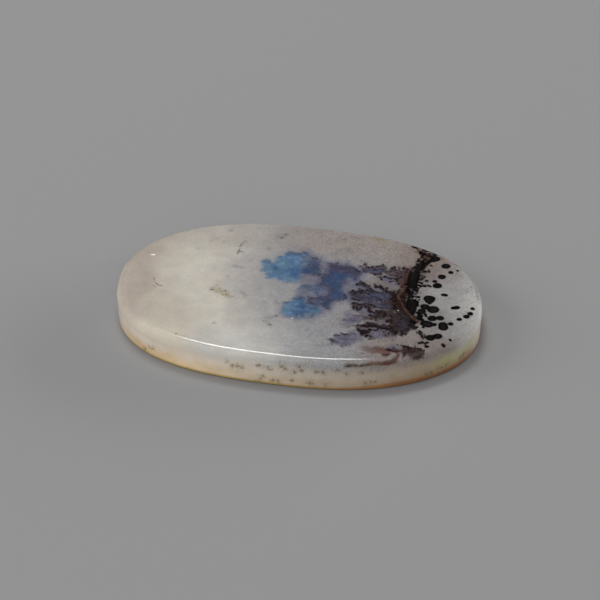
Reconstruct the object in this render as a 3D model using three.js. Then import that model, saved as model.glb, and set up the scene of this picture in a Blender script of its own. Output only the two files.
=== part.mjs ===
// A scenic agate cabochon: one piece of translucent agate, ground to a low oval slab.
// The top is polished almost flat with a barely raised crown, the edge between top and
// wall is a broad rounded shoulder, and a narrow bevel runs round the flat base.
// +Z is up, +X runs along the long axis, and the origin is the middle of the base.

import * as THREE from 'three';
import { LoftGeometry } from 'three/addons/geometries/LoftGeometry.js';

// Driving dimensions, in millimetres
const LENGTH = 38;
const WIDTH = 24.6;
const THICKNESS = 3.6;        // from the base to the top of the crown
const CROWN_RISE = 0.12;      // how far the middle of the top stands above its rim
const SHOULDER_RADIUS = 1.05; // rounding between the top and the wall
const WALL_TUCK = 0.09;       // how far the wall leans in on its way down to the base
const BASE_BEVEL = 0.3;       // 45 degree bevel round the base

// The oval is a superellipse, and the hand grinding leaves it a little uneven
const OVAL_EXPONENT = 2.35;
const HAND_CUT = [
	{ lobes: 3, cosine: 0.0024, sine: - 0.0018 },
	{ lobes: 6, cosine: 0.0018, sine: - 0.0045 },
];

// How finely the faceted solid follows the stone
const OUTLINE_POINTS = 144;
const SHOULDER_STEPS = 8;
const CROWN_RINGS = [ 0.8, 0.6, 0.4, 0.2 ]; // as shares of the top face's reach

// The colour of the stone where it holds no other mineral
const AGATE_COLOUR = 0xc9c1b4;

// Superellipse radius for a half axis of 1, swelled and pinched by the hand-cut lobes
function ovalRadius( angle ) {

	const reach = Math.abs( Math.cos( angle ) ) ** OVAL_EXPONENT + Math.abs( Math.sin( angle ) ) ** OVAL_EXPONENT;
	const swell = HAND_CUT.reduce( ( sum, { lobes, cosine, sine } ) =>
		sum + cosine * Math.cos( lobes * angle ) + sine * Math.sin( lobes * angle ), 1 );

	return swell * reach ** ( - 1 / OVAL_EXPONENT );

}

// The widest outline, centred on the origin and brought to the stated length and width
function girdleOutline() {

	const points = [];

	for ( let i = 0; i < OUTLINE_POINTS; i ++ ) {

		const angle = i / OUTLINE_POINTS * Math.PI * 2;
		const radius = ovalRadius( angle );
		points.push( new THREE.Vector2( radius * Math.cos( angle ), radius * Math.sin( angle ) ) );

	}

	const box = new THREE.Box2().setFromPoints( points );
	const size = box.getSize( new THREE.Vector2() );
	const centre = box.getCenter( new THREE.Vector2() );
	const scale = new THREE.Vector2( LENGTH / size.x, WIDTH / size.y );

	return points.map( ( point ) => point.sub( centre ).multiply( scale ) );

}

// The outline moved inwards along its own normals
function insetOutline( outline, inset ) {

	return outline.map( ( point, i ) => {

		const before = outline[ ( i + OUTLINE_POINTS - 1 ) % OUTLINE_POINTS ];
		const after = outline[ ( i + 1 ) % OUTLINE_POINTS ];
		const outward = new THREE.Vector2( after.y - before.y, before.x - after.x ).normalize();

		return point.clone().addScaledVector( outward, - inset );

	} );

}

// One horizontal ring of the loft
function ring( outline, height ) {

	return outline.map( ( point ) => new THREE.Vector3( point.x, point.y, height ) );

}

// The stone's surface as rings, from the edge of the base up to the crown
function stoneSections() {

	const girdle = girdleOutline();
	const rimHeight = THICKNESS - CROWN_RISE;
	const sections = [
		ring( insetOutline( girdle, WALL_TUCK + BASE_BEVEL ), 0 ),
		ring( insetOutline( girdle, WALL_TUCK ), BASE_BEVEL ),
	];

	// a quarter circle from the top of the wall to the rim of the top face
	for ( let step = 0; step <= SHOULDER_STEPS; step ++ ) {

		const turn = step / SHOULDER_STEPS * Math.PI / 2;
		const inset = SHOULDER_RADIUS * ( 1 - Math.cos( turn ) );
		const drop = SHOULDER_RADIUS * ( 1 - Math.sin( turn ) );
		sections.push( ring( insetOutline( girdle, inset ), rimHeight - drop ) );

	}

	// a shallow paraboloid over the top face
	const rim = insetOutline( girdle, SHOULDER_RADIUS );

	for ( const share of CROWN_RINGS ) {

		const shrunk = rim.map( ( point ) => point.clone().multiplyScalar( share ) );
		sections.push( ring( shrunk, rimHeight + CROWN_RISE * ( 1 - share ** 2 ) ) );

	}

	return sections;

}

function makeCabochon() {

	const geometry = new LoftGeometry( stoneSections(), { capStart: true, capEnd: true } );
	const material = new THREE.MeshStandardMaterial( { color: AGATE_COLOUR, roughness: 0.12, metalness: 0 } );
	const cabochon = new THREE.Mesh( geometry, material );
	cabochon.name = 'cabochon';

	return cabochon;

}

const stone = new THREE.Group();
stone.add( makeCabochon() );

export default stone;
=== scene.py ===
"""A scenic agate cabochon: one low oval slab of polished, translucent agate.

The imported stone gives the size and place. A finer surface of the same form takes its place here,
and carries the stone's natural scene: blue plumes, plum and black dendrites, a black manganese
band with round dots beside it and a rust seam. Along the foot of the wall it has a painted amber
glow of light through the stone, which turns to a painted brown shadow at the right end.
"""

import math

import bpy
import numpy as np
from bpy.props import FloatProperty, FloatVectorProperty, PointerProperty
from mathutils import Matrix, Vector


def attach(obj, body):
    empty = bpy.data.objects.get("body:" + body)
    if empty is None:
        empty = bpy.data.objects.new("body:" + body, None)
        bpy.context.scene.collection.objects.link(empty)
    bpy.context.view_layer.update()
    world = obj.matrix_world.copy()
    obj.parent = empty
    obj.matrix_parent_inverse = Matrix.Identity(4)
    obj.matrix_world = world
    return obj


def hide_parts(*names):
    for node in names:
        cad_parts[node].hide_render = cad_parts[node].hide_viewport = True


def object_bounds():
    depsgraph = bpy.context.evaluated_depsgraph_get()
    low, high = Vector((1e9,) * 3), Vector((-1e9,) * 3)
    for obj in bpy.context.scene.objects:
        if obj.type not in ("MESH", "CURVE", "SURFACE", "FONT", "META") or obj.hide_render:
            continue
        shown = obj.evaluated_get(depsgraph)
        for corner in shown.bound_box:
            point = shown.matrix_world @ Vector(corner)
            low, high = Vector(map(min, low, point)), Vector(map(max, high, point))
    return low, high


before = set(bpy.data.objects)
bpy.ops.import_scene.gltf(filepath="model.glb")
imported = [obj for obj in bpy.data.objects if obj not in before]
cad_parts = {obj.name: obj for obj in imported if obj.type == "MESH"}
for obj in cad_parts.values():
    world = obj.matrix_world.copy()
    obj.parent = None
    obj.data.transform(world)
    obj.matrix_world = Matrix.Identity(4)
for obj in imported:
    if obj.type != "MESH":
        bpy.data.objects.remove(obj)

bl_info = {
    "name": "Scenic Agate Cabochon",
    "version": (1, 0, 0),
    "blender": (4, 5, 0),
    "location": "3D View > Sidebar > Cabochon",
    "description": "Makes a polished oval agate with blue plumes and black dendrites",
    "category": "Add Mesh",
}

CAD_BOX = [list(corner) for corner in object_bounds()]
LOWEST, HIGHEST = (Vector(corner) for corner in CAD_BOX)
MM = 0.001

# The stone's form, as in its solid
OVAL_EXPONENT = 2.35
HAND_CUT = ((3, 0.0024, -0.0018), (6, 0.0018, -0.0045))  # lobes, cosine share, sine share
OUTLINE_POINTS = 512
OUTLINE_CROWDING = 0.3  # the points stand closer together towards the +X end, where the fine marks are
UNDERSIDE_RINGS = 16
BEVEL_RINGS = 3
WALL_RINGS = 14
SHOULDER_RINGS = 18
CROWN_RINGS = 145
CROWN_FOCUS = (0.0065, -0.0005)  # the crown's rings close here, in the middle of the fine marks

# How the marks lie on the stone, in millimetres
MARKED_SKIN = 3.0  # marks lower than this on the wall start to fade, measured from the base
SEEN_THROUGH = 0.15  # the marks on the underside are smaller by this all round
BASE_SKIN = 0.05  # the underside's colours end at this height above the base
CREST = 0.4  # the breadth of the darker strip along a mark's upper edge
BLACK_HALO = 0.07  # how far the stone darkens round each black mark
NOWHERE = -9.0  # the least reach, for a place far from every mark

# The natural marks, in millimetres on the top face. A patch is a closed outline of (x, y) places.
# A stroke is a run of discs (x, y, radius) joined by tapering bars, and one disc alone is a spot.

BLUE_PATCHES = (
    # the large cloud
    (
        (-4.92, 4.14), (-4.8, 4.5), (-4.48, 4.76), (-4.08, 4.74), (-3.8, 4.5), (-3.68, 4.18), (-3.5, 4.36),
        (-3.32, 4.66), (-3.36, 5.06), (-3.4, 5.42), (-3.12, 5.62), (-2.72, 5.72), (-2.7, 6.1), (-2.48, 6.42),
        (-2.0, 6.56), (-1.52, 6.62), (-1.04, 6.58), (-0.72, 6.78), (-0.46, 6.9), (-0.2, 6.62), (-0.12, 6.36),
        (-0.2, 6.02), (0.0, 5.6), (0.2, 5.2), (0.1, 4.7), (0.1, 4.3), (0.1, 3.9), (-0.1, 3.4), (-0.3, 2.58),
        (-0.22, 2.1), (-0.34, 1.46), (-0.48, 1.16), (-1.04, 1.0), (-1.52, 0.82),
        (-2.0, 1.0), (-2.4, 1.26), (-2.8, 1.44), (-3.36, 1.16), (-3.7, 1.24), (-3.74, 1.62), (-4.02, 2.02),
        (-4.0, 2.34), (-4.4, 2.36), (-4.58, 2.62), (-4.44, 2.98), (-4.54, 3.54), (-4.74, 3.94),
    ),
    # the lower cloud
    (
        (0.08, -1.25), (0.45, -1.3), (0.83, -1.38), (1.0, -1.7), (1.05, -2.0), (1.3, -2.4), (2.0, -2.55),
        (2.75, -2.6), (2.95, -3.3), (2.88, -3.65), (2.72, -3.97), (2.4, -4.1), (2.24, -4.78), (2.08, -4.78),
        (2.1, -4.4), (1.95, -4.2), (1.84, -4.5), (1.65, -4.5), (1.54, -4.25), (1.38, -4.4), (1.42, -4.72),
        (1.2, -4.82), (1.07, -5.06), (0.92, -4.8), (0.75, -4.75), (0.62, -5.15), (0.45, -5.1), (0.3, -4.9),
        (0.03, -5.0), (-0.3, -4.83), (-0.77, -4.78), (-1.09, -4.4), (-1.15, -3.87), (-1.09, -3.4),
        (-0.98, -3.05), (-1.2, -2.76), (-0.93, -2.58), (-0.56, -2.42), (-0.32, -2.18), (-0.4, -1.84),
        (-0.16, -1.66),
    ),
)

INDIGO_PATCHES = (
    # the cloud beside the large one
    (
        (0.0, 5.86), (0.24, 6.1), (0.64, 6.16), (0.96, 5.94), (1.08, 5.54), (1.2, 5.06), (1.42, 4.7),
        (1.4, 4.3), (1.56, 4.02), (1.54, 3.54), (1.72, 3.14), (1.9, 3.1), (1.9, 2.74), (1.6, 2.5),
        (1.2, 2.6), (0.8, 2.74), (0.08, 2.8), (-0.4, 2.6), (-0.7, 3.2), (-0.4, 3.9), (-0.1, 4.1),
        (-0.16, 4.5), (-0.22, 4.98), (-0.04, 5.46),
    ),
    # the dark cloud and the trunk under it
    (
        (2.08, 5.14), (2.4, 5.3), (2.8, 5.2), (3.04, 5.52), (3.26, 5.2), (3.76, 5.14), (4.08, 5.52),
        (4.4, 5.14), (4.72, 5.06), (5.04, 4.84), (5.44, 4.6), (5.76, 4.36), (6.0, 4.26), (5.92, 3.86),
        (5.8, 3.3), (5.7, 2.74), (5.6, 2.32), (5.2, 2.42), (4.96, 2.74), (4.64, 2.9), (4.48, 2.45),
        (4.56, 2.1), (4.46, 1.62), (4.3, 1.14), (4.4, 0.66), (4.6, 0.4), (4.8, 0.1), (5.12, -0.13),
        (5.2, -0.45), (5.04, -0.9), (4.72, -1.2), (4.45, -1.54), (4.13, -1.4), (3.9, -1.7), (3.76, -2.16),
        (3.7, -2.6), (3.76, -3.12), (3.4, -3.07), (3.12, -2.8), (2.75, -2.75), (2.1, -2.85), (1.5, -2.75),
        (1.1, -2.4), (1.05, -1.9), (1.15, -1.2), (1.5, -1.2), (1.95, -1.14), (2.43, -0.78), (2.8, -0.68),
        (3.0, -0.36), (3.0, -0.03), (2.92, 0.4), (2.7, 0.7), (2.2, 0.7), (1.75, 0.9), (1.7, 1.4),
        (1.9, 1.8), (1.75, 2.4), (1.7, 3.0), (2.1, 3.45), (2.32, 4.1), (2.2, 4.6),
    ),
)

# Pale clearings inside the plumes and dendrites
CLEARINGS = (
    ((-3.62, 4.75, 0.1), (-3.6, 4.4, 0.07)),
    ((8.94, 4.8, 0.12),),
    ((7.55, 1.38, 0.1), (7.9, 1.35, 0.12), (8.1, 1.15, 0.08)),
    ((11.8, 8.35, 0.16), (12.0, 8.05, 0.14)),
    ((11.95, 7.5, 0.12),),
    ((12.2, 8.4, 0.12), (12.3, 7.9, 0.12)),
    ((11.0, 9.3, 0.08),),
    ((11.15, 2.1, 0.08), (11.35, 1.95, 0.06)),
    ((11.7, 1.75, 0.04), (11.9, 1.5, 0.05)),
    ((11.2, 1.05, 0.07),),
    ((11.75, 1.15, 0.04), (12.0, 1.05, 0.06)),
    ((11.35, 0.5, 0.06), (11.6, 0.42, 0.06)),
    ((8.15, -2.08, 0.06), (8.7, -2.02, 0.08), (9.3, -2.1, 0.07)),
    ((10.25, -2.2, 0.08), (10.45, -2.35, 0.06)),
    ((7.6, -4.3, 0.05), (8.3, -4.22, 0.06), (9.2, -4.35, 0.05)),
    ((8.7, -4.72, 0.05), (9.4, -4.62, 0.05)),
)

# Mauve haze in the clear agate between the plumes
WASHES = (
    ((0.2, 2.5, 0.35), (0.8, 2.2, 0.5), (1.3, 1.7, 0.5), (1.7, 1.2, 0.4)),
    ((1.4, 5.0, 0.35), (1.8, 4.4, 0.35), (1.9, 3.8, 0.35)),
    ((-0.4, 6.2, 0.3), (-0.35, 5.3, 0.45), (-0.35, 4.4, 0.45)),
    ((-2.4, 6.9, 0.35), (-1.6, 7.0, 0.4), (-0.7, 7.1, 0.35)),
    ((2.3, 0.3, 0.4), (2.7, 0.1, 0.5), (2.7, -0.4, 0.35)),
    ((0.3, -0.6, 0.4), (1.0, -0.8, 0.4), (1.2, -1.2, 0.3)),
    ((3.0, -3.1, 0.35), (2.6, -3.6, 0.3)),
    ((4.6, 2.5, 0.4), (5.0, 1.8, 0.35), (4.8, 1.1, 0.35), (5.0, 0.5, 0.3)),
    ((5.75, 4.1, 0.4), (6.2, 4.3, 0.3)),
    ((5.4, 1.2, 0.25), (6.1, 1.25, 0.3), (6.7, 1.2, 0.25)),
    ((5.4, -0.5, 0.35), (5.5, -1.0, 0.3), (6.5, -1.2, 0.3), (7.2, -1.3, 0.3)),
    ((-0.9, -3.0, 0.35), (-0.95, -4.0, 0.35), (-0.6, -4.9, 0.3)),
    ((8.4, 3.45, 0.3), (9.0, 3.35, 0.3), (9.6, 3.0, 0.4)),
    ((7.4, 1.5, 0.3), (8.1, 1.3, 0.3)),
    ((6.6, -2.2, 0.4), (7.4, -2.6, 0.35), (8.4, -3.0, 0.35)),
    ((8.4, -5.5, 0.35), (9.2, -6.2, 0.4), (9.8, -4.5, 0.3), (10.4, -6.2, 0.3)),
    ((7.2, -6.9, 0.35), (7.4, -7.4, 0.3), (6.8, -6.5, 0.35)),
    ((-0.3, 2.3, 0.3), (0.3, 1.8, 0.4), (0.6, 1.4, 0.3)),
    ((5.8, -3.4, 0.3), (6.4, -4.3, 0.35), (6.0, -5.0, 0.3)),
    ((11.2, -8.3, 0.35), (11.6, -8.7, 0.35)),
)

# Thin grey-blue veils, the arm between the large cloud and the lower one
BLUE_VEILS = (
    ((0.05, 0.0, 0.2), (0.5, 0.45, 0.45), (1.1, 0.35, 0.55), (1.7, 0.45, 0.6), (2.1, 0.2, 0.45)),
    ((1.9, -0.5, 0.4), (2.3, -0.9, 0.25)),
    ((-0.5, 3.5, 0.3), (0.3, 3.2, 0.4)),
    ((2.4, -3.3, 0.3), (2.7, -3.6, 0.2)),
)

# Grey smudges in the clear agate
SMUDGES = (
    ((-7.54, 2.92, 0.2), (-6.44, 2.66, 0.15)),
    ((-5.7, -1.6, 0.25), (-5.2, -2.2, 0.2)),
    ((-4.1, -0.7, 0.15),),
    ((-3.05, -2.9, 0.15),),
    ((-2.0, -2.7, 0.25), (-1.6, -3.1, 0.1)),
    ((-2.4, -5.7, 0.25), (-1.7, -5.4, 0.25), (-1.3, -5.05, 0.15)),
    ((-2.3, -6.3, 0.2), (-1.8, -6.8, 0.25)),
    ((-10.7, 7.1, 0.14),),
    ((-10.2, 7.6, 0.1),),
    ((-9.3, 7.2, 0.12),),
    ((-11.8, 5.4, 0.15),),
    ((-9.1, 9.4, 0.25),),
    ((-4.5, 6.8, 0.3),),
    ((-3.8, 9.0, 0.35), (-3.1, 9.8, 0.3)),
    ((-7.4, -7.5, 0.2),),
    ((0.6, -10.0, 0.25),),
    ((3.6, 8.1, 0.3), (4.2, 7.6, 0.2)),
    ((3.8, 10.5, 0.25), (4.5, 10.4, 0.2)),
    ((2.1, -6.9, 0.25),),
    ((3.8, -9.4, 0.25), (4.9, -9.0, 0.2)),
    ((4.8, -4.6, 0.25), (5.7, -3.8, 0.2)),
)

# Faint violet lobes, seen through more of the stone
VIOLET_PATCHES = (
    (
        (4.4, -8.15), (4.6, -7.9), (4.95, -7.8), (4.85, -7.45), (5.05, -7.15), (5.5, -7.0), (5.6, -6.75),
        (6.0, -6.85), (6.35, -6.8), (6.6, -6.55), (6.95, -6.5), (7.25, -6.8), (7.3, -7.3), (7.4, -7.5),
        (7.2, -7.8), (7.15, -8.3), (6.9, -8.8), (6.4, -9.15), (6.0, -9.2), (5.8, -8.86), (5.4, -8.85),
        (5.1, -9.0), (4.95, -8.65), (4.6, -8.45),
    ),
    (
        (6.1, -3.5), (6.5, -3.3), (6.9, -3.2), (7.3, -3.3), (7.5, -3.7), (7.5, -4.3), (7.2, -4.75),
        (6.6, -4.95), (5.9, -4.9), (5.5, -4.6), (5.7, -4.1), (6.2, -3.9),
    ),
    ((8.8, -5.7), (9.5, -5.5), (10.0, -5.7), (10.0, -6.7), (9.5, -7.0), (9.0, -6.9), (8.75, -6.3)),
)

PLUM_PATCHES = (
    # between the upper row and the band
    ((9.4, 3.1), (9.5, 3.45), (10.0, 3.85), (10.6, 4.0), (10.6, 2.2), (10.35, 2.1), (9.9, 2.7)),
    # the lowest branch
    (
        (7.9, -8.6), (8.5, -8.45), (9.0, -8.55), (9.4, -8.35), (10.0, -8.4), (10.4, -8.6), (10.8, -8.62),
        (11.3, -8.45), (11.9, -8.4), (12.15, -8.6), (12.1, -9.1), (11.5, -9.2), (11.1, -9.3), (10.95, -9.65),
        (10.7, -9.9), (10.3, -9.85), (10.1, -9.6), (9.8, -9.5), (9.5, -9.7), (9.2, -9.85), (8.9, -9.6),
        (8.4, -9.6), (8.0, -9.3),
    ),
)

DENDRITE_PATCHES = (
    # the upper row
    (
        (5.8, 4.15), (5.7, 4.52), (5.64, 4.88), (5.38, 5.46), (5.62, 5.36), (5.85, 5.12), (5.85, 5.84),
        (5.98, 5.95), (6.18, 5.54), (6.42, 5.2), (6.54, 5.51), (6.84, 5.7), (7.0, 5.5), (7.2, 5.76),
        (7.42, 5.7), (7.62, 5.99), (7.77, 6.1), (7.95, 5.9), (8.16, 5.54), (8.31, 5.06), (8.46, 5.02),
        (8.56, 5.3), (8.67, 4.98), (8.8, 5.5), (8.9, 5.95), (9.08, 5.98), (9.2, 5.5), (9.3, 5.4),
        (9.38, 5.92), (9.5, 5.86), (9.7, 5.36), (9.81, 5.84), (10.06, 6.02), (10.42, 5.88), (10.6, 5.6),
        (10.6, 4.7), (10.5, 4.0), (10.0, 3.98), (9.72, 4.1), (9.18, 4.12), (8.7, 4.28), (8.34, 4.42),
        (8.02, 4.5), (7.95, 4.12), (7.74, 3.9), (7.14, 3.94), (7.06, 4.16), (6.6, 4.25), (6.12, 4.18),
    ),
    # the chunk over the thicket
    (
        (5.5, 1.76), (5.6, 2.05), (5.86, 2.2), (5.96, 2.62), (6.15, 2.36), (6.48, 2.42), (6.66, 2.16),
        (6.9, 1.94), (7.06, 2.12), (7.06, 1.7), (7.2, 1.4), (7.0, 1.2), (6.81, 1.3), (6.54, 1.42),
        (6.24, 1.52), (5.88, 1.68),
    ),
    # the thicket, down to its drips and back along its right side
    (
        (5.06, 0.14), (5.16, 0.5), (5.46, 0.76), (5.74, 0.68), (6.0, 1.2), (6.3, 1.04), (6.6, 0.92),
        (6.82, 1.1), (6.95, 1.4), (7.15, 1.4), (7.4, 1.22), (7.86, 1.2), (8.1, 1.0), (8.45, 1.1),
        (8.64, 1.3), (8.84, 1.86), (8.94, 1.4), (9.12, 1.08), (9.3, 1.5), (9.42, 1.3), (9.76, 1.55),
        (9.9, 1.1), (10.1, 1.8), (10.35, 1.22), (10.5, 0.5), (10.56, -0.1), (10.98, -1.0), (11.5, -1.9),
        (12.1, -2.6), (12.6, -3.2), (12.9, -3.6), (12.7, -3.9), (13.1, -4.4), (12.9, -4.8), (12.5, -4.9),
        (12.25, -5.2), (12.02, -5.6), (12.05, -5.9), (11.8, -6.22), (11.6, -5.85), (11.32, -5.7),
        (11.15, -6.5), (10.95, -6.0), (10.86, -7.1), (10.7, -6.2), (10.52, -5.9), (10.42, -6.62),
        (10.26, -6.0), (10.2, -5.6), (9.9, -5.5), (9.85, -5.0), (10.1, -4.6), (10.05, -4.3), (9.8, -4.2),
        (9.62, -4.0), (9.9, -3.7), (9.9, -3.4), (9.62, -3.3), (9.5, -3.62), (9.2, -3.66), (9.0, -3.4),
        (8.86, -3.6), (8.6, -3.86), (8.36, -3.6), (8.2, -3.42), (7.95, -3.46), (7.8, -3.24), (8.05, -3.12),
        (8.4, -3.18), (8.6, -3.0), (8.3, -2.88), (8.24, -2.6), (8.24, -2.3), (8.8, -2.2), (9.4, -2.25),
        (9.7, -2.14), (9.6, -2.0), (8.9, -1.98), (8.2, -2.04), (7.9, -2.1), (7.84, -2.4), (8.1, -2.62),
        (8.2, -2.8), (7.9, -2.86), (7.6, -2.62), (7.5, -2.3), (7.3, -2.26), (7.05, -2.0), (6.95, -2.35),
        (6.85, -2.7), (6.6, -2.8), (6.36, -2.66), (6.3, -2.3), (6.12, -2.46), (5.95, -2.42), (5.9, -2.05),
        (5.7, -1.7), (5.7, -1.44), (6.1, -1.34), (6.5, -1.46), (7.0, -1.4), (7.1, -1.16), (6.9, -0.95),
        (6.5, -1.06), (6.0, -1.06), (5.75, -1.0), (5.52, -0.7), (5.4, -0.28), (5.1, -0.05),
    ),
    # the blob at the end of the lowest branch, which turns over the shoulder
    (
        (11.9, -8.5), (12.1, -7.9), (12.45, -7.8), (12.65, -8.05), (13.1, -8.05), (13.25, -7.8),
        (13.55, -7.85), (14.0, -7.93), (14.25, -8.2), (14.38, -8.55), (14.25, -8.95), (13.9, -9.25),
        (13.4, -9.3), (13.0, -9.15), (12.75, -9.25), (12.5, -9.5), (12.3, -9.3), (12.05, -9.0),
    ),
)

DENDRITE_STROKES = (
    # between the upper row and the thicket
    ((7.85, 3.6, 0.11), (8.05, 3.66, 0.1), (8.35, 3.86, 0.15), (8.6, 3.56, 0.12), (8.9, 3.62, 0.12)),
    ((8.9, 3.62, 0.12), (9.3, 3.55, 0.11), (9.7, 3.76, 0.13), (10.1, 4.05, 0.3)),
    ((8.05, 3.3, 0.1),),
    ((9.02, 3.12, 0.07), (9.35, 3.22, 0.1), (9.55, 3.1, 0.08), (9.95, 2.8, 0.08), (10.3, 2.3, 0.1)),
    ((7.52, 2.16, 0.07), (7.75, 1.82, 0.18), (8.2, 1.76, 0.16), (8.55, 1.42, 0.18), (8.75, 1.1, 0.2)),
    ((8.1, 2.22, 0.06), (8.2, 1.85, 0.13)),
    ((6.3, 0.55, 0.08), (6.25, 0.75, 0.1)),
    # the long strands
    ((5.2, -4.95, 0.06), (5.45, -4.6, 0.08), (5.7, -4.55, 0.05)),
    ((5.35, -5.25, 0.05), (5.7, -5.66, 0.1), (6.2, -5.6, 0.08), (6.8, -5.4, 0.09), (7.2, -5.2, 0.1)),
    ((7.2, -5.2, 0.1), (7.7, -5.05, 0.12), (8.1, -4.75, 0.17), (8.7, -4.7, 0.15), (9.2, -4.85, 0.13)),
    ((9.2, -4.85, 0.13), (9.7, -4.75, 0.15), (10.1, -4.9, 0.25)),
    ((8.1, -5.0, 0.12), (8.3, -5.36, 0.13), (8.9, -5.5, 0.12), (9.3, -5.3, 0.18), (9.9, -5.2, 0.3)),
    ((7.0, -5.7, 0.07), (7.2, -6.0, 0.16), (7.6, -6.3, 0.2), (8.0, -6.4, 0.18), (8.2, -7.0, 0.12)),
    ((7.7, -6.65, 0.1),),
    ((7.9, -5.9, 0.1), (8.4, -5.76, 0.18), (9.0, -5.62, 0.14)),
    ((7.75, -2.6, 0.16), (8.4, -2.75, 0.26), (9.2, -2.8, 0.32), (9.8, -2.6, 0.35)),
    ((8.0, -3.35, 0.14), (8.7, -3.35, 0.24), (9.4, -3.45, 0.22)),
    ((7.55, -3.8, 0.1), (8.1, -3.85, 0.16), (8.7, -3.95, 0.14)),
    ((7.1, -5.3, 0.12), (7.7, -5.3, 0.22), (8.4, -5.1, 0.28), (9.3, -5.1, 0.32), (10.1, -4.9, 0.35)),
    ((7.3, -6.0, 0.18), (7.8, -6.2, 0.3), (8.3, -6.1, 0.24)),
    ((8.4, -6.6, 0.1), (8.6, -7.1, 0.14), (8.75, -7.4, 0.1)),
    ((10.0, -6.3, 0.1), (10.0, -5.7, 0.14)),
    # the lowest branch and the blob at its end
    ((10.6, -8.72, 0.1), (11.1, -8.85, 0.16), (11.6, -8.85, 0.14), (12.0, -8.8, 0.2)),
    ((10.95, -8.15, 0.04), (11.3, -8.62, 0.1)),
    ((11.3, -8.2, 0.04), (11.6, -8.62, 0.09)),
    ((11.55, -7.85, 0.06), (11.75, -7.9, 0.08)),
    # the fragments between the thicket and the blob
    ((13.15, -5.0, 0.1), (13.45, -5.4, 0.2), (13.75, -5.95, 0.22), (13.95, -6.35, 0.12)),
    ((13.25, -6.95, 0.12), (13.7, -7.05, 0.26), (14.0, -6.95, 0.22), (14.4, -7.05, 0.16)),
    ((12.05, -7.75, 0.07), (12.3, -7.85, 0.12), (12.7, -8.05, 0.12), (13.3, -7.85, 0.12)),
)

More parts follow.
